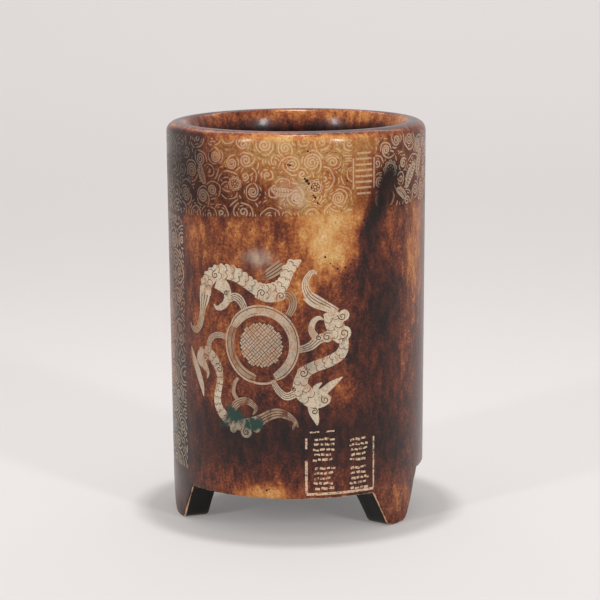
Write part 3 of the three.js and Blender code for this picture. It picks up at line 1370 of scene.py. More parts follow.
# Pits, specks and motifs by angle in degrees, height and size in millimetres
PITS = (
    (12.2, 117.3, 0.5), (14.4, 114.6, 0.35), (15.6, 113.4, 0.3), (17.6, 112.3, 0.5), (21.2, 112.6, 0.5),
    (23.8, 113.8, 0.45), (25.5, 115.4, 0.3), (3.6, 149.5, 0.5), (4.4, 148.6, 0.8), (5.2, 147.5, 0.6),
    (6.4, 146, 0.4), (7.2, 142.6, 0.4), (7.9, 141.8, 0.55), (9, 139.5, 0.45), (9.6, 138.8, 0.3),
    (-3.5, 155.2, 0.4), (-2.6, 155.0, 0.5), (-31.5, 153, 0.5), (5, 160.5, 0.45), (6, 160.2, 0.3),
    (-14, 19.8, 0.5), (-12.8, 20.2, 0.35), (-1, 140.6, 0.4), (22, 148, 0.4), (-20, 128.5, 0.4),
    (38, 94, 0.4), (-52, 66, 0.4),
)
SPECKS = ((8.2, 17, 0.55), (9.2, 17.1, 0.35), (5, 16.8, 0.3), (-2, 16.7, 0.3), (27.5, 17.4, 0.3))
MOTIFS = (
    Motif(Bloom.FLOWER, 44.5, 151, 4.0, 10),
    Motif(Bloom.LEAF, 60, 147, 6.5, 50),
    Motif(Bloom.LEAF, 69, 152, 6, 70),
    Motif(Bloom.LEAF, 52, 140, 4.6, -35),
    Motif(Bloom.FLOWER, 8, 146, 3.2, 0),
    Motif(Bloom.LEAF, -6, 145, 4.8, 175),
    Motif(Bloom.FLOWER, -27, 147, 3.0, 20),
    Motif(Bloom.LEAF, -44, 150, 4.6, 110),
    Motif(Bloom.FLOWER, 150, 147, 3.6, 0),
    Motif(Bloom.FLOWER, 225, 147, 3.6, 0),
    Motif(Bloom.LEAF, 188, 147, 6, 20),
)


def nicks() -> list[Stroke]:
    """Returns the black pits in the glaze and the pale specks, by angle, height and radius."""
    return [disc((across_of(angle), height), radius, 7, section)
            for spots, section in ((PITS, PITTED), (SPECKS, PAINTED))
            for angle, height, radius in spots]


def band_foot(across: float) -> float:
    """Finds the height of the rim band's lower border, which isn't quite level.

    Args:
        across: A place across the sheet.

    Returns:
        The border's height there.
    """
    angle = (math.degrees(across / SHEET_RADIUS) + 58) % 360 - 58
    return float(np.interp(angle, (-58, -13, 28, 68, 302), (131.6, 134.0, 135.7, 135.7, 131.6)))


def rim_band() -> list[Stroke]:
    """Returns the rim band: two fields with the medallion between them in front, and a coarser one."""
    left, right = across_of(-60), across_of(85)
    medallion = BarMedallion()
    centre = across_of(medallion.angle)
    made: list[Stroke] = []
    for seed, start, end in ((3, left, centre - medallion.reach), (4, centre + medallion.reach, right)):
        made += ScrollField(start, end, BAND_TOP, seed, band_foot, motifs=MOTIFS, lined=True).strokes()
    made += medallion.strokes()
    return made + ScrollField(right, left + TURN, BAND_TOP, 5, band_foot, pitch=9.5, ribbon=0.85,
                              spacing=1.5, motifs=MOTIFS).strokes()


def all_strokes() -> list[Stroke]:
    """Returns the strokes of the whole inlay, with those that cover others last."""
    made = rim_band()
    for seed, (left, right) in enumerate(SIDE_BANDS, 6):
        made += ScrollField(across_of(left), across_of(right), SIDE_TOP, seed, lambda across: SIDE_FOOT,
                            ribbon=0.8, spacing=1.35).strokes()
    made += Roundel(-15.9, 80.9, (UPPER_CREATURE, RIGHT_CREATURE, LOWER_CREATURE)).strokes()
    made += Roundel(193, 82, (UPPER_CREATURE,) * 3, (0.0, 120.0, 240.0)).strokes()
    made += MarkPanel().strokes()
    return made + nicks()


def add_object(name: str, data: bpy.types.ID) -> bpy.types.Object:
    """Adds an object to the scene.

    Args:
        name: Its name.
        data: Its mesh, light or camera.

    Returns:
        The object.
    """
    made = bpy.data.objects.new(name, data)
    bpy.context.scene.collection.objects.link(made)
    return made


class NodeDesk:
    """Places and links the nodes of a tree."""

    MIX_INPUTS = (0, 6, 7)  # the factor and the two colours
    MIX_OUTPUT = 2

    def __init__(self, tree: bpy.types.NodeTree) -> None:
        """Takes the tree to build in."""
        self.tree = tree

    def node(self, kind: str, outlet: int | str = 0, **inputs: object) -> Socket:
        """Adds a node.

        Args:
            kind: The node's type.
            outlet: The output to give back.
            **inputs: Sockets by name with spaces as underscores, or node settings by their own name.

        Returns:
            The chosen output.
        """
        made = self.tree.nodes.new(kind)
        for name, value in inputs.items():
            if hasattr(made, name) and not isinstance(value, Socket):
                setattr(made, name, value)
            else:
                self.feed(made.inputs[name.replace("_", " ")], value)
        return made.outputs[outlet]

    def feed(self, socket: Socket, value: object) -> None:
        """Links an output to a socket, or sets its value.

        Args:
            socket: The input socket.
            value: The output, or the value.
        """
        if isinstance(value, Socket):
            self.tree.links.new(value, socket)
        else:
            socket.default_value = value

    def mix(self, share: object, first: object, second: object) -> Socket:
        """Mixes two colours.

        Args:
            share: How much there is of the second one.
            first: The first colour.
            second: The second colour.

        Returns:
            The result.
        """
        made = self.tree.nodes.new("ShaderNodeMix")
        made.data_type = "RGBA"
        for key, value in zip(self.MIX_INPUTS, (share, first, second)):
            self.feed(made.inputs[key], value)
        return made.outputs[self.MIX_OUTPUT]

    def noise(self, place: object, scale: float, detail: float, roughness: float) -> Socket:
        """Returns a noise, with its scale in bumps to the metre."""
        return self.node("ShaderNodeTexNoise", Vector=place, Scale=scale, Detail=detail, Roughness=roughness)

    def ramp(self, value: object, low: float, high: float) -> Socket:
        """Returns 0 below low, 1 above high and a smooth rise between."""
        return self.node("ShaderNodeMapRange", interpolation_type="SMOOTHSTEP", Value=value,
                         From_Min=low, From_Max=high)

    def sum(self, operation: str, *values: object) -> Socket:
        """Works out a sum.

        Args:
            operation: The kind of sum.
            *values: The numbers or outputs that it takes.

        Returns:
            Its result.
        """
        made = self.tree.nodes.new("ShaderNodeMath")
        made.operation = operation
        for socket, value in zip(made.inputs, values):
            self.feed(socket, value)
        return made.outputs[0]

    def attribute(self, name: str) -> Socket:
        """Returns the value of a mesh attribute."""
        return self.node("ShaderNodeAttribute", "Fac", attribute_name=name)


class WrapTree:
    """The Geometry Nodes tree that wraps the flat layout into the pot."""

    SIZES = ("Rim Radius", "Foot Radius", "Shoulder Height")
    MERGE_DISTANCE = 2e-6  # metres, which closes the seam and leaves the finest faces as they are

    def __init__(self, material: bpy.types.Material) -> None:
        """Builds the tree.

        Args:
            material: The finish that it puts on the pot.
        """
        tree = bpy.data.node_groups.new("wrap_sheet_into_pot", "GeometryNodeTree")
        tree.interface.new_socket("Sheet", in_out="INPUT", socket_type="NodeSocketGeometry")
        self.sockets: dict[str, str] = {}
        for name in self.SIZES:
            socket = tree.interface.new_socket(name, in_out="INPUT", socket_type="NodeSocketFloat")
            self.sockets[name] = socket.identifier
        tree.interface.new_socket("Pot", in_out="OUTPUT", socket_type="NodeSocketGeometry")
        self.tree = tree
        self._wire(material)

    def _wire(self, material: bpy.types.Material) -> None:
        """Places and links the tree's nodes.

        Args:
            material: The finish that it puts on the pot.
        """
        desk = NodeDesk(self.tree)
        given = self.tree.nodes.new("NodeGroupInput")
        rim, foot, shoulder = (given.outputs[name] for name in self.SIZES)
        angle, height, inset = (
            desk.node("GeometryNodeInputNamedAttribute", "Attribute", data_type="FLOAT", Name=name)
            for name in ("angle", "height", "inset"))
        rise = desk.sum("DIVIDE", height, shoulder)
        outer = desk.sum("ADD", foot, desk.sum("MULTIPLY", desk.sum("SUBTRACT", rim, foot), rise))
        radius = desk.sum("SUBTRACT", outer, inset)
        ahead = desk.sum("MULTIPLY", radius, desk.sum("COSINE", angle))
        place = desk.node("ShaderNodeCombineXYZ", X=desk.sum("MULTIPLY", radius, desk.sum("SINE", angle)),
                          Y=desk.sum("MULTIPLY", ahead, -1.0), Z=height)
        move, merge, smooth, realize, dress, result = (self.tree.nodes.new(kind) for kind in (
            "GeometryNodeSetPosition", "GeometryNodeMergeByDistance", "GeometryNodeSetShadeSmooth",
            "GeometryNodeRealizeInstances", "GeometryNodeSetMaterial", "NodeGroupOutput"))
        desk.feed(move.inputs["Position"], place)
        desk.feed(merge.inputs["Distance"], self.MERGE_DISTANCE)
        desk.feed(dress.inputs["Material"], material)
        for before, after in zip((given, move, merge, smooth, realize, dress),
                                 (move, merge, smooth, realize, dress, result)):
            desk.feed(after.inputs[0], before.outputs[0])

    def wrap(self, flat: bpy.types.Object, form: PotForm, name: str) -> bpy.types.Object:
        """Wraps a flat layout into the pot.

        Args:
            flat: The object that holds the layout, which is removed.
            form: The pot's sizes.
            name: The new piece's name.

        Returns:
            The pot as a plain mesh.
        """
        modifier = flat.modifiers.new("wrap", "NODES")
        modifier.node_group = self.tree
        sizes = (form.rim_radius, form.foot_radius, form.shoulder)
        for size_name, size in zip(self.SIZES, sizes):
            modifier[self.sockets[size_name]] = size * MM
        graph = bpy.context.evaluated_depsgraph_get()
        mesh = bpy.data.meshes.new_from_object(flat.evaluated_get(graph), depsgraph=graph)
        flat.modifiers.remove(modifier)
        plain = flat.data
        bpy.data.objects.remove(flat)
        bpy.data.meshes.remove(plain)
        mesh.name = name
        return add_object(name, mesh)


@dataclass(frozen=True)
class Patch:
    """A soft patch where the glaze is lighter or darker.

    It has a level from 0, black, to 1, pale honey, its middle, its half sizes in millimetres, its
    strength and its tilt in degrees.
    """

    level: float
    angle: float
    height: float
    across: float
    up: float
    strength: float = 1.0
    tilt: float = 0.0

    def weight(self, across: Array, height: Array) -> Array:
        """Works out the patch's strength, measured the short way round the pot.

        Args:
            across: Places across the sheet.
            height: Their heights.

        Returns:
            The strength at each of them.
        """
        side = (across - across_of(self.angle) + TURN / 2) % TURN - TURN / 2
        rise = height - self.height
        cos, sin = math.cos(math.radians(self.tilt)), math.sin(math.radians(self.tilt))
        spread = ((side * cos + rise * sin) / self.across) ** 2 + ((rise * cos - side * sin) / self.up) ** 2
        return self.strength * np.exp(-spread ** 1.4 * 0.75)


# What the photograph shows of the glaze and inlay, judged one by one, with later patches over earlier ones
FRONT_PATCHES = (
    Patch(0.20, 66, 70, 36, 76, 0.9),
    # Partly the glaze's own colour and partly painted sheen: these lighten the glaze next to the right edge,
    # where it catches light at a grazing angle
    Patch(0.34, 56, 80, 7, 60, 0.8),
    Patch(0.64, 67, 122, 9, 28, 0.85),
    Patch(0.6, 69, 152, 7, 12, 0.8),
    Patch(0.12, 36, 70, 11, 54, 1.0),
    Patch(0.19, 40, 56, 14, 28, 0.8),
    Patch(0.36, -50, 88, 12, 28, 0.9),
    Patch(0.38, -16, 80, 30, 26, 0.9),
    Patch(0.09, -10, 41, 62, 13, 1.0),
    Patch(0.26, -12, 27, 14, 6, 0.8),
    Patch(0.30, -40, 20, 16, 6, 0.8),
    Patch(0.7, -14, 17.5, 13, 4.2, 1.0),
    Patch(0.10, -68, 30, 12, 40, 0.9),
    Patch(0.09, -52, 149, 17, 16, 0.95),
    Patch(0.02, -62, 157, 14, 15, 0.95),
    Patch(0.54, -50, 122, 8, 11, 0.9),
    Patch(0.46, -20, 122, 21, 14, 1.0),
    Patch(0.30, -37, 121, 6, 8, 0.8, 30),
    Patch(0.66, -2, 152, 31, 16, 1.0),
    Patch(0.30, -31, 141, 16, 8, 0.9),
    Patch(0.72, 6, 162, 38, 6.5, 1.0),
    Patch(0.55, -33, 162, 8, 4, 0.8),
    Patch(0.77, 15, 127, 15, 19, 1.0),
    Patch(0.66, 25, 124, 5, 10, 1.0),
    Patch(0.2, 26, 106, 6, 7, 0.8),
    Patch(0.62, 3, 106, 6, 12, 0.9),
    Patch(0.3, -7.5, 127, 4.5, 5.5, 0.7),
    Patch(0.30, 18, 97, 10, 8, 0.8),
    Patch(0.18, 3, 88, 5, 9, 0.8),
    Patch(0.48, 52, 160, 14, 6, 0.8),
    Patch(0.30, 60, 143, 10, 12, 0.8),
    Patch(0.62, 29, 152, 6, 10, 0.9),
    Patch(-0.08, 42.5, 145, 4.6, 9, 1.0, -20),
    Patch(0.36, 45, 130, 7, 12, 0.8),
    Patch(0.0, 35.2, 132, 4, 10, 1.0, -30),
    Patch(0.13, 33, 117, 4, 11, 1.0, -15),
    Patch(0.42, 53, 127, 5, 10, 0.7),
    Patch(0.48, 19, 63, 6, 8, 0.9),
    Patch(0.44, 52, 9, 12, 13, 0.9),
)
GREEN_PATCHES = (
    Patch(1, -28.5, 50.5, 5, 3.4, 1.0, -40),
    Patch(1, -20, 47.5, 5.5, 3.2, 1.0, 5),
    Patch(1, -34, 46, 3.5, 2.4, 0.75),
)
HAZE_PATCHES = (
    Patch(1, -17, 116.6, 4.8, 2.9, 0.85),
    Patch(1, -5, 144, 3, 6, 0.25),
    Patch(1, 1, 143, 3, 5, 0.35),
)
INLAY_PATCHES = (
    Patch(0.33, 30, 150, 200, 20, 1.0),
    Patch(0.42, 210, 150, 200, 20, 1.0),
    Patch(0.22, -48, 148, 16, 20, 1.0),
    Patch(0.12, -68, 156, 12, 15, 1.0),
    Patch(0.24, -75, 84, 18, 18, 0.8),
    Patch(0.55, 56, 148, 20, 18, 0.9),
    Patch(0.3, -77, 70, 19, 64, 1.0),
    Patch(0.5, -75, 42, 18, 22, 0.9),
    Patch(0.45, 103, 70, 20, 64, 1.0),
    Patch(0.55, -40, 78, 9, 14, 0.8),
    Patch(0.5, -22, 47, 16, 7, 0.9),
    Patch(0.5, 0, 89, 4, 5, 0.6),
    Patch(0.58, -12, 80, 21, 19, 0.9),
    Patch(0.02, 42, 143, 5, 10, 1.0, -20),
)


@dataclass(frozen=True)
class FiringAndPaintedShade:
    """How light the glaze is, from 0, black, to 1, pale honey, all over the pot, with painted shade in the
    bore and under the pot.
    """

    form: PotForm
    base: float = 0.26
    lip: float = 0.42
    # The level that the painted shade reaches deep in the bore
    bore: float = 0.02
    crest_dip: float = 0.32
    back_patches: int = 46
    lip_patches: int = 26
    seed: int = 21

    def levels(self, across: Array, height: Array, inset: Array) -> Array:
        """Works out the glaze's level.

        Args:
            across: Places across the sheet.
            height: Their heights.
            inset: How far in from the outer face they lie.

        Returns:
            The level at each of them.
        """
        level = np.full(len(across), self.base)
        for patch in (*self._back_patches(), *FRONT_PATCHES):
            weight = patch.weight(across, height)
            level += (patch.level - level) * weight
        return self._inside_with_painted_shade(level, across, height, inset)

    def _back_patches(self) -> list[Patch]:
        """Returns lighter and darker patches over the side that the front view hides."""
        draw = np.random.default_rng(self.seed)
        made = []
        for _ in range(self.back_patches):
            light = draw.random() < 0.5
            level = draw.uniform(0.42, 0.72) if light else draw.uniform(0.06, 0.2)
            made.append(Patch(level, draw.uniform(92, 272), draw.uniform(15, 160), draw.uniform(8, 20),
                              draw.uniform(8, 26), 0.8, draw.uniform(-30, 30)))
        return made

    def _inside_with_painted_shade(self, level: Array, across: Array, height: Array, inset: Array) -> Array:
        """Darkens the crest, and paints shade into the bore, darker further down, and onto the cut faces and
        the recess under the pot.

        Args:
            level: The outer face's level at some places.
            across: Where they lie across the sheet.
            height: Their heights.
            inset: How far in from the outer face they lie.

        Returns:
            The level at each of them.
        """
        draw = np.random.default_rng(self.seed + 1)
        lip = np.full(len(across), self.lip)
        for _ in range(self.lip_patches):
            patch = Patch(draw.uniform(0.22, 0.56), draw.uniform(0, 360), 0, draw.uniform(8, 20), 1, 0.8)
            lip += (patch.level - lip) * patch.weight(across, np.zeros(len(across)))
        high = height > self.form.underside + 1
        over = np.clip((inset - 0.7) / 1.6, 0, 1) * high
        level = level + (lip - level) * over
        crest = np.exp(-((inset - self.form.lip_crest_inset + 1.2) / 2.0) ** 2) * over
        level = level - self.crest_dip * crest
        # Painted shade: the bore darkens towards black further down from the lip
        depth = np.clip((self.form.height - 3.5 - height) / 4.5, 0, 1)
        level = np.where((inset > 7) & high, lip + 0.06 + (self.bore - lip) * depth, level)
        # Painted shade: the cut faces and the recess under the pot are near black
        under = (inset > 0.35) & ~high
        return np.where(under, -0.3 + 0.4 * np.exp(-inset), level)


def paint(red: int, green: int, blue: int) -> tuple[float, float, float, float]:
    """Turns display values from 0 to 255 into a linear colour.

    Args:
        red: The red value.
        green: The green value.
        blue: The blue value.

    Returns:
        The colour with its alpha.
    """
    parts = []
    for value in (red, green, blue):
        share = value / 255
        parts.append(share / 12.92 if share <= 0.04045 else ((share + 0.055) / 1.055) ** 2.4)
    return (*parts, 1.0)


@dataclass(frozen=True)
class Mottle:
    """What the finish varies by: a spot's place, noises from broad to fine, and the glaze's level, from its
    firing and from the painted shade in the bore and under the pot.

    The swing is the noises together, about nothing, and the wander is what it does to that level.
    """

    place: Socket
    broad: Socket
    middle: Socket
    fine: Socket
    spots: Socket
    firing_and_painted_shade: Socket
    swing: Socket
    wander: Socket

    @classmethod
    def placed(cls, desk: NodeDesk) -> "Mottle":
        """Places the nodes.

        Args:
            desk: The desk to build at.

        Returns:
            Their outputs.
        """
        place = desk.node("ShaderNodeTexCoord", "Object")
        streaks = desk.node("ShaderNodeMapping", Vector=place, Scale=(1.0, 1.0, 0.5))
        broad = desk.noise(streaks, 75.0, 3.0, 0.6)
        middle = desk.noise(streaks, 300.0, 3.0, 0.6)
        fine = desk.noise(place, 1000.0, 3.0, 0.65)
        spots = desk.noise(place, 1500.0, 1.0, 0.5)
        firing_and_painted_shade = desk.attribute("firing_and_painted_shade")
        finer = desk.sum("MULTIPLY_ADD", middle, 0.6, desk.sum("MULTIPLY", fine, 0.7))
        swing = desk.sum("SUBTRACT", desk.sum("MULTIPLY_ADD", broad, 0.5, finer), 0.9)
        grip = desk.sum("MINIMUM", desk.sum("MULTIPLY_ADD", firing_and_painted_shade, 2.6, 0.38),
                        desk.sum("SUBTRACT", 1.4, firing_and_painted_shade))
        return cls(place, broad, middle, fine, spots, firing_and_painted_shade, swing, desk.sum("MULTIPLY", swing, grip))


@dataclass(frozen=True)
class GlazeFinish:
    """The mottled brown glaze with its flush inlay. Colours are display values, and lengths metres."""

    # Colours by level; the darkest stops also colour the painted shade in the bore and under the pot
    firing_and_painted_shade: tuple[tuple[float, int, int, int], ...] = (
        (0.0, 17, 10, 9), (0.13, 48, 19, 14), (0.3, 88, 37, 21), (0.45, 128, 64, 31),
        (0.6, 170, 104, 52), (0.74, 192, 142, 82), (0.88, 206, 166, 112), (1.0, 218, 188, 142))
    green: tuple[int, int, int] = (21, 58, 50)
    haze: tuple[int, int, int] = (186, 170, 152)
    inlay: tuple[int, int, int] = (220, 204, 178)
    inlay_aged: tuple[int, int, int] = (184, 156, 126)
    worn: tuple[int, int, int] = (158, 131, 106)
    line: tuple[int, int, int] = (44, 25, 18)
    mark: tuple[int, int, int] = (200, 171, 141)
    pit: tuple[int, int, int] = (22, 14, 11)
    bare: tuple[int, int, int] = (196, 160, 126)
    roughness: float = 0.36
    specular: float = 0.12
    coat: float = 0.42
    band_coat: float = 0.14
    coat_roughness: float = 0.17
    gloss_heights: Point = (0.153, 0.159)
    bump: float = 0.15
    bump_height: float = 0.0006

    def material(self, name: str) -> bpy.types.Material:
        """Builds the finish.

        Args:
            name: The material's name.

        Returns:
            The material.
        """
        made = bpy.data.materials.new(name)
        made.use_nodes = True
        made.node_tree.nodes.clear()
        desk = NodeDesk(made.node_tree)
        mottle = Mottle.placed(desk)
        ground = desk.attribute("ground")
        glaze = self._glaze(desk, mottle)
        colour = self._stained(desk, mottle, glaze, self._patterned(desk, mottle, glaze, ground))
        height = desk.sum("MULTIPLY_ADD", mottle.middle, 0.6, desk.sum("MULTIPLY", mottle.fine, 0.4))
        bump = desk.node("ShaderNodeBump", Strength=self.bump, Distance=self.bump_height, Height=height)
        rough = desk.sum("MULTIPLY_ADD", desk.sum("SUBTRACT", mottle.middle, 0.5), 0.3, self.roughness)
        shader = desk.node("ShaderNodeBsdfPrincipled", Base_Color=colour, Roughness=rough, Normal=bump,
                           Specular_IOR_Level=self.specular, Coat_Weight=self._gloss(desk, mottle, ground),
                           Coat_Roughness=self.coat_roughness)
        output = made.node_tree.nodes.new("ShaderNodeOutputMaterial")
        made.node_tree.links.new(shader, output.inputs["Surface"])
        return made

    def _glaze(self, desk: NodeDesk, mottle: Mottle) -> Socket:
        """Colours the plain glaze, with dark specks and the painted shade that its level carries.

        Args:
            desk: The desk to build at.
            mottle: What it varies by.

        Returns:
            The colour.
        """
        fired_and_painted_shade = self._fired_and_painted_shade(desk, desk.sum("ADD", mottle.firing_and_painted_shade, mottle.wander))
        pits = desk.sum("MULTIPLY", desk.ramp(mottle.spots, 0.62, 0.7), desk.ramp(mottle.middle, 0.45, 0.6))
        return desk.mix(desk.sum("MULTIPLY", pits, 0.6), fired_and_painted_shade, paint(*self.line))

    def _patterned(self, desk: NodeDesk, mottle: Mottle, glaze: Socket, ground: Socket) -> Socket:
        """Lays the bands' darker ground and the inlay over the glaze.

        Args:
            desk: The desk to build at.
            mottle: What they vary by.
            glaze: The glaze's colour.
            ground: How much of the bands' ground there is.

        Returns:
            The colour.
        """
        shade = desk.sum("MULTIPLY", ground, desk.ramp(mottle.middle, 0.2, 0.6))
        paler = desk.sum("SUBTRACT", 0.78, desk.sum("MULTIPLY", mottle.firing_and_painted_shade, 0.75))
        colour = desk.mix(desk.sum("MULTIPLY", shade, paler), glaze, paint(*self.line))
        tone = desk.attribute("tone")
        layers = (
            (Tone.INLAY, self._aged_inlay(desk, mottle, glaze)),
            (Tone.WORN, desk.mix(desk.ramp(mottle.middle, 0.4, 0.7), paint(*self.worn), glaze)),
            (Tone.LINE, desk.mix(0.4, paint(*self.line), glaze)),
            (Tone.PIT, paint(*self.pit)),
            (Tone.MARK, desk.mix(desk.ramp(mottle.fine, 0.5, 0.62), paint(*self.mark), glaze)),
        )
        for kind, layer in layers:
            colour = desk.mix(desk.sum("COMPARE", tone, float(kind.value), 0.2), colour, layer)
        return colour

    def _aged_inlay(self, desk: NodeDesk, mottle: Mottle, glaze: Socket) -> Socket:
        """Colours the pale inlay, which is lost under the glaze where it is dark or rubbed.

        Args:
            desk: The desk to build at.
            mottle: What it varies by.
            glaze: The glaze's colour.

        Returns:
            The colour.
        """
        age = desk.ramp(desk.sum("MULTIPLY_ADD", mottle.wander, 0.5, mottle.middle), 0.4, 0.75)
        aged = desk.mix(age, paint(*self.inlay), paint(*self.inlay_aged))
        specks = desk.sum("MAXIMUM", desk.ramp(mottle.fine, 0.58, 0.68), desk.ramp(mottle.spots, 0.6, 0.68))
        aged = desk.mix(desk.sum("MULTIPLY", specks, 0.5), aged, paint(*self.line))
        smoke = desk.sum("ADD", mottle.firing_and_painted_shade, desk.sum("MULTIPLY", mottle.swing, 0.5))
        clear = desk.sum("MULTIPLY_ADD", desk.ramp(smoke, -0.06, 0.12), 0.7, 0.3)
        kept = desk.sum("MULTIPLY", desk.attribute("inlay"), clear)
        whole = desk.sum("ADD", desk.sum("MULTIPLY", mottle.broad, 0.8),
                         desk.sum("MULTIPLY", mottle.middle, 0.8))
        whole = desk.sum("MINIMUM", 1.0, desk.sum("ADD", whole, 0.12))
        return desk.mix(desk.sum("MULTIPLY", kept, whole), glaze, aged)

    def _stained(self, desk: NodeDesk, mottle: Mottle, glaze: Socket, colour: Socket) -> Socket:
        """Lays the whitish haze, the green stain and the rubbed edges over the colour.

        Args:
            desk: The desk to build at.
            mottle: What they vary by.
            glaze: The glaze's colour.
            colour: The colour so far.

        Returns:
            The colour.
        """
        haze = desk.sum("MULTIPLY", desk.attribute("haze"), desk.ramp(mottle.broad, 0.25, 0.55))
        copper = desk.ramp(desk.sum("MULTIPLY_ADD", mottle.wander, 1.3, desk.attribute("green")), 0.38, 0.85)
        broken = desk.mix(desk.ramp(mottle.fine, 0.52, 0.7), paint(*self.green), glaze)
        rubbed = desk.ramp(desk.sum("MULTIPLY_ADD", mottle.wander, 1.5, desk.attribute("wear")), 0.45, 0.8)
        for amount, stain in ((haze, paint(*self.haze)), (copper, broken), (rubbed, paint(*self.bare))):
            colour = desk.mix(amount, colour, stain)
        return colour

    def _gloss(self, desk: NodeDesk, mottle: Mottle, ground: Socket) -> Socket:
        """Makes the bands duller than the plain glaze, and their top glossy again.

        Args:
            desk: The desk to build at.
            mottle: What says where a spot lies.
            ground: How much of the bands' ground there is.

        Returns:
            The coat's weight.
        """
        height = desk.node("ShaderNodeSeparateXYZ", "Z", Vector=mottle.place)
        matt = desk.sum("SUBTRACT", 1.0, desk.ramp(height, *self.gloss_heights))
        matt = desk.sum("MULTIPLY", ground, matt)
        return desk.sum("MULTIPLY_ADD", matt, self.band_coat - self.coat, self.coat)

    def _fired_and_painted_shade(self, desk: NodeDesk, level: Socket) -> Socket:
        """Colours the glaze by its level, from its firing and from the painted shade in the bore and under
        the pot.

        Args:
            desk: The desk to build at.
            level: How light it is, from its firing and from the painted shade.

        Returns:
            The colour.
        """
        ramp = desk.tree.nodes.new("ShaderNodeValToRGB")
        desk.feed(ramp.inputs["Fac"], level)
        stops = ramp.color_ramp.elements
        while len(stops) < len(self.firing_and_painted_shade):
            stops.new(0.5)
        for stop, (place, *shade) in zip(stops, self.firing_and_painted_shade):
            stop.position = place
            stop.color = paint(*shade)
        return ramp.outputs["Color"]


@dataclass(frozen=True)
class SoftBox:
    """One rectangular light, in metres, watts and a point that it faces.

    It lights everything, unless it is left out of matt surfaces or of the shine on glossy ones.
    """

    name: str
    place: Step
    size: Point
    power: float
    target: Step = (0, 0, 0.09)
    matt: bool = True
    shine: bool = True

    def hang(self) -> None:
        """Adds the light to the scene."""
        data = bpy.data.lights.new(self.name, "AREA")
        data.shape = "RECTANGLE"
        data.size, data.size_y = self.size
        data.energy = self.power
        box = add_object(self.name, data)
        away = Vector(self.place) - Vector(self.target)
        turn = away.to_track_quat("Z", "Y").to_matrix().to_4x4()
        box.matrix_world = Matrix.Translation(self.place) @ turn
        box.visible_diffuse = self.matt
        box.visible_glossy = self.shine


@dataclass(frozen=True)
class Studio:
    """The pale sweep, the soft boxes and the camera, in metres and degrees."""

    distance: float = 0.9758
    camera_height: float = 0.2659
    focal: float = 138.3
    pitch: float = 10.213
    roll: float = -0.368
    shift: float = 0.0049
    sensor: float = 36.0
    sweep_width: float = 6.0
    sweep_front: float = -3.0
    sweep_back: float = 1.6
    sweep_bend: float = 1.2
    sweep_top: float = 4.0
    paper: Step = (0.49, 0.47, 0.463)
    paper_glow: Step = (1.0, 0.96, 0.94)
    glow_strength: float = 0.15
    room: Step = (1.0, 0.98, 0.97)
    room_strength: float = 0.6
    boxes: tuple[SoftBox, ...] = (
        SoftBox("overhead_box", (-0.02, 0.03, 1.8), (0.45, 0.13), 8, matt=False),
        SoftBox("shadow_light", (0, 0, 0.82), (0.04, 0.04), 3.4, shine=False),
        SoftBox("left_box", (-1.22, -1.2, 0.8), (0.16, 0.6), 8.6),
        SoftBox("right_box", (1.05, -1.35, 0.8), (0.18, 0.6), 11),
        SoftBox("backdrop_box", (0.3, 1.7, 2.0), (3.4, 0.9), 30, (0.3, 2.1, 0.1)),
    )

    def build(self) -> None:
        """Makes the camera, the sweep, the lights and the world."""
        self._camera()
        self._sweep()
        self._lights()

    def _camera(self) -> None:
        """Makes the camera at the photograph's viewing angle."""
        data = bpy.data.cameras.new("camera")
        data.lens = self.focal
        data.sensor_width = self.sensor
        data.shift_x = self.shift
        camera = add_object("camera", data)
        camera.matrix_world = (
            Matrix.Translation((0, -self.distance, self.camera_height))
            @ Matrix.Rotation(math.radians(90 - self.pitch), 4, "X")
            @ Matrix.Rotation(math.radians(self.roll), 4, "Z")
        )
        bpy.context.scene.camera = camera

    def _sweep(self) -> None:
        """Makes the floor of pale, faintly glowing paper, which curves up behind into a backdrop."""
        back, bend, steps = self.sweep_back, self.sweep_bend, 16
        profile = [(self.sweep_front, 0.0), (back, 0.0)]
        for step in range(1, steps + 1):
            turn = math.pi / 2 * step / steps
            profile.append((back + bend * math.sin(turn), bend - bend * math.cos(turn)))
        profile.append((back + bend, self.sweep_top))
        mesh = bpy.data.meshes.new("sweep")
        half = self.sweep_width / 2
        points = [(side, y, z) for y, z in profile for side in (-half, half)]
        faces = [(2 * k, 2 * k + 1, 2 * k + 3, 2 * k + 2) for k in range(len(profile) - 1)]
        mesh.from_pydata(points, [], faces)
        mesh.shade_smooth()
        sweep = add_object("sweep", mesh)
        made = bpy.data.materials.new("sweep_paper")
        made.use_nodes = True
        shader = made.node_tree.nodes["Principled BSDF"]
        settings = {"Base Color": (*self.paper, 1), "Emission Color": (*self.paper_glow, 1),
                    "Emission Strength": self.glow_strength, "Roughness": 0.9, "Specular IOR Level": 0.1}
        for name, value in settings.items():
            shader.inputs[name].default_value = value
        mesh.materials.append(made)

    def _lights(self) -> None:
        """Hangs the soft boxes in a pale room.

        The overhead box only shows in the lip's shine. The shadow light hangs above the pot for the
        round shadow under it and doesn't show in its shine. One box at each side in front lights
        the wall, and one behind lights the backdrop.
        """
        for box in self.boxes:
            box.hang()
        world = bpy.data.worlds.new("pale_room")
        world.use_nodes = True
        background = world.node_tree.nodes["Background"]
        background.inputs["Color"].default_value = (*self.room, 1)
        background.inputs["Strength"].default_value = self.room_strength
        bpy.context.scene.world = world
        bpy.context.scene.view_settings.view_transform = "Standard"


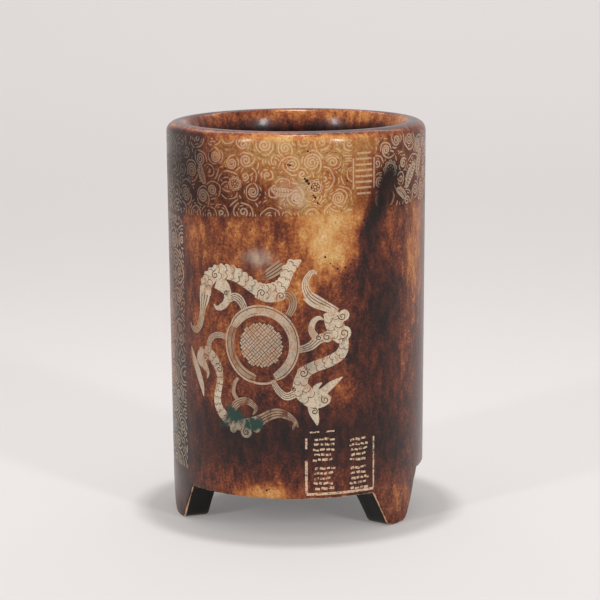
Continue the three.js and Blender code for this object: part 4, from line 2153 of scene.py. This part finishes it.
@dataclass(frozen=True)
class BrushPot:
    """The whole pot, one piece of clay with its inlay. Lengths are in millimetres."""

    form: PotForm
    strokes: Sequence[Stroke]
    around: int = 192
    inner_edge: float = 0.5
    wear_seed: int = 11
    inlay_kept: float = 0.92
    patch_gain: float = 1.4

    def layout(self) -> Sheet:
        """Lays out the pot's whole surface and returns it."""
        sheet = Sheet()
        ring = FootRing(self.form)
        worn = ring.wear(self.wear_seed)
        LOG.info("laying out %d strokes of inlay", len(self.strokes))
        face = OuterWall(self.form, ring.loop(worn, 0), self.around)
        face.draw(self.strokes)
        face.add_to(sheet)
        self._add_inside(sheet)
        self._add_underneath(sheet, ring, worn)
        return sheet

    def _add_inside(self, sheet: Sheet) -> None:
        """Adds the lip, the bore and the floor.

        Args:
            sheet: The sheet that gets them.
        """
        seam = math.radians(SEAM_ANGLE)
        turns = np.linspace(seam, seam - 2 * math.pi, self.around + 1)[::-1]
        top = self.form.face_top
        levels = [(top, float(self.form.face_inset(top)))]
        levels += [(height, self.form.outer(height) - radius) for height, radius in self.form.profile()]
        rows = [row_at(turns, height, inset) for height, inset in levels]
        floor = self.form.underside + self.form.floor_thickness
        sheet.add_rows(rows, False, (0.0, floor, self.form.outer(floor)))

    def _add_underneath(self, sheet: Sheet, ring: FootRing, worn: Array) -> None:
        """Adds the cut faces of the foot ring and the recess under the pot.

        Args:
            sheet: The sheet that gets them.
            ring: The foot ring.
            worn: How far its outer edge is rounded at each point.
        """
        wall, inner = self.form.wall, self.inner_edge
        cut = [ring.loop(worn, 0)]
        for turn in np.linspace(0, math.pi / 2, 4)[1:]:
            cut.append(ring.loop(worn * (1 - math.sin(turn)), ring.edge * (1 - math.cos(turn))))
        for share in (0.25, 0.5, 0.75):
            cut.append(ring.loop(0.0, ring.edge + (wall - ring.edge - inner) * share))
        for turn in np.linspace(math.pi / 2, 0, 4):
            cut.append(ring.loop(inner * (1 - math.sin(turn)), wall - inner * (1 - math.cos(turn))))
        under = self.form.underside
        base = cut[-1]
        for share in (0.35, 0.65, 0.85, 1.0):
            heights = base[:, 1] + (under - base[:, 1]) * share
            cut.append(row_at(base[:, 0], heights, self.form.recess_inset(heights)))
        corner = self.form.outer(under) - wall - self.form.underside_fillet
        for radius in np.linspace(corner, 0, 8)[1:-1]:
            cut.append(row_at(base[:, 0], under, self.form.outer(under) - radius))
        sheet.add_rows(cut, True, (0.0, under, self.form.outer(under)))

    def build(self, material: bpy.types.Material) -> bpy.types.Object:
        """Builds the pot.

        Args:
            material: Its finish.

        Returns:
            The pot as a plain mesh.
        """
        sheet = self.layout()
        rows = np.vstack(sheet.points)
        mesh = bpy.data.meshes.new("flat_layout")
        places = np.stack([rows[:, 0] * SHEET_RADIUS * MM, rows[:, 1] * MM, -rows[:, 2] * MM], axis=1)
        mesh.from_pydata(places.tolist(), [], sheet.faces)
        values = {"angle": rows[:, 0], "height": rows[:, 1] * MM, "inset": rows[:, 2] * MM,
                  "wall": np.concatenate(sheet.walls), **self._finish_values(rows)}
        for name, numbers in values.items():
            self._attribute(mesh, name, "POINT", numbers)
        self._attribute(mesh, "tone", "FACE", np.array(sheet.tones, float))
        pot = WrapTree(material).wrap(add_object("flat_layout", mesh), self.form, "brush_pot_glazed")
        self._set_normals(pot.data)
        return pot

    def _finish_values(self, rows: Array) -> dict[str, Array]:
        """Works out what the finish reads at each point of the sheet.

        Args:
            rows: Angle in radians, height and inset of each point.

        Returns:
            The values by the name of their attribute.
        """
        across, height, inset = rows[:, 0] * SHEET_RADIUS, rows[:, 1], rows[:, 2]
        kept = np.full(len(rows), self.inlay_kept)
        for patch in INLAY_PATCHES:
            kept += (patch.level - kept) * np.minimum(1, patch.weight(across, height) * self.patch_gain)
        face = (inset < 0.1) | ((height > self.form.shoulder) & (inset < 1.2))
        # The glaze's level carries painted shade in the bore and under the pot
        values = {"firing_and_painted_shade": FiringAndPaintedShade(self.form).levels(across, height, inset), "inlay": kept,
                  "ground": np.where(face, self._ground(across, height), 0), "wear": self._wear(rows)}
        for name, patches in (("green", GREEN_PATCHES), ("haze", HAZE_PATCHES)):
            weights = np.max([patch.weight(across, height) for patch in patches], axis=0)
            values[name] = np.where(face, weights, 0)
        return values

    @staticmethod
    def _ground(across: Array, height: Array) -> Array:
        """Works out how dark the ground between the scroll's lines is.

        Args:
            across: Places across the sheet.
            height: Their heights.

        Returns:
            The darkness at each of them, from 0 to 1.
        """
        angle = np.degrees(across / SHEET_RADIUS)
        foot = np.array([band_foot(place) for place in across])
        ground = np.clip((BAND_TOP + 0.8 - height) / 3, 0, 1) * np.clip((height - foot + 1) / 2, 0, 1)
        for left, right in SIDE_BANDS:
            middle, half = (left + right) / 2, (right - left) / 2
            off = np.abs((angle - middle + 180) % 360 - 180)
            beside = np.clip((half - off + 1) / 2, 0, 1)
            upright = np.clip((height - SIDE_FOOT + 1) / 3, 0, 1) * np.clip((SIDE_TOP + 1 - height) / 3, 0, 1)
            ground = np.maximum(ground, beside * upright)
        return ground

    @staticmethod
    def _wear(rows: Array) -> Array:
        """Works out how rubbed the glaze is: along the cut edges and under the feet.

        Args:
            rows: Angle in radians, height and inset of each point.

        Returns:
            The wear at each of them, from 0 to 1.
        """
        low = rows[:, 1] < 26
        edge = np.exp(-((rows[:, 2] - 0.35) / 0.35) ** 2) * low * (rows[:, 2] > 0.02)
        soles = np.exp(-rows[:, 1] / 1.2) * 0.8
        return np.maximum(edge * 0.85, soles)

    @staticmethod
    def _attribute(mesh: bpy.types.Mesh, name: str, domain: str, values: Array) -> None:
        """Stores numbers on a mesh's points or faces."""
        mesh.attributes.new(name, "FLOAT", domain).data.foreach_set("value", values.astype(np.float32))

    def _set_normals(self, mesh: bpy.types.Mesh) -> None:
        """Gives the inlaid face the normals of its true form, so that its small faces don't show.

        Args:
            mesh: The pot's mesh.
        """
        count = len(mesh.vertices)
        wall = np.zeros(count, np.float32)
        mesh.attributes["wall"].data.foreach_get("value", wall)
        places = np.zeros(count * 3, np.float32)
        mesh.vertices.foreach_get("co", places)
        places = places.reshape(-1, 3)
        normals = np.array([normal.vector for normal in mesh.vertex_normals])
        outwards, upwards = self.form.face_slope(places[:, 2] / MM)
        true = np.stack([places[:, 0], places[:, 1], np.zeros(count)], axis=1)
        true *= outwards[:, None] / np.maximum(np.linalg.norm(true, axis=1, keepdims=True), 1e-9)
        true[:, 2] = upwards
        normals[wall > 0.5] = true[wall > 0.5]
        normals /= np.linalg.norm(normals, axis=1, keepdims=True)
        mesh.normals_split_custom_set_from_vertices(normals.tolist())


def report_piece(piece: bpy.types.Object) -> None:
    """Logs a piece's size and whether its surface is closed.

    Args:
        piece: The piece.
    """
    check = bmesh.new()
    check.from_mesh(piece.data)
    loose = sum(1 for edge in check.edges if len(edge.link_faces) != 2)
    triangles = sum(len(face.verts) - 2 for face in check.faces)
    check.free()
    LOG.info("%s: %d triangles, %d open edges", piece.name, triangles, loose)


def main() -> None:
    """Builds the pot, the studio and the camera."""
    logging.basicConfig(level=logging.INFO, format="%(name)s %(message)s", stream=sys.stdout)
    Studio().build()
    low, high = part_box("brush_pot")
    form = PotForm(height=high.z / MM, rim_radius=high.x / MM)
    pot = BrushPot(form, all_strokes()).build(GlazeFinish().material("glazed_stoneware"))
    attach(pot, "root")
    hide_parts("brush_pot")
    report_piece(pot)


if __name__ == "__main__":
    main()
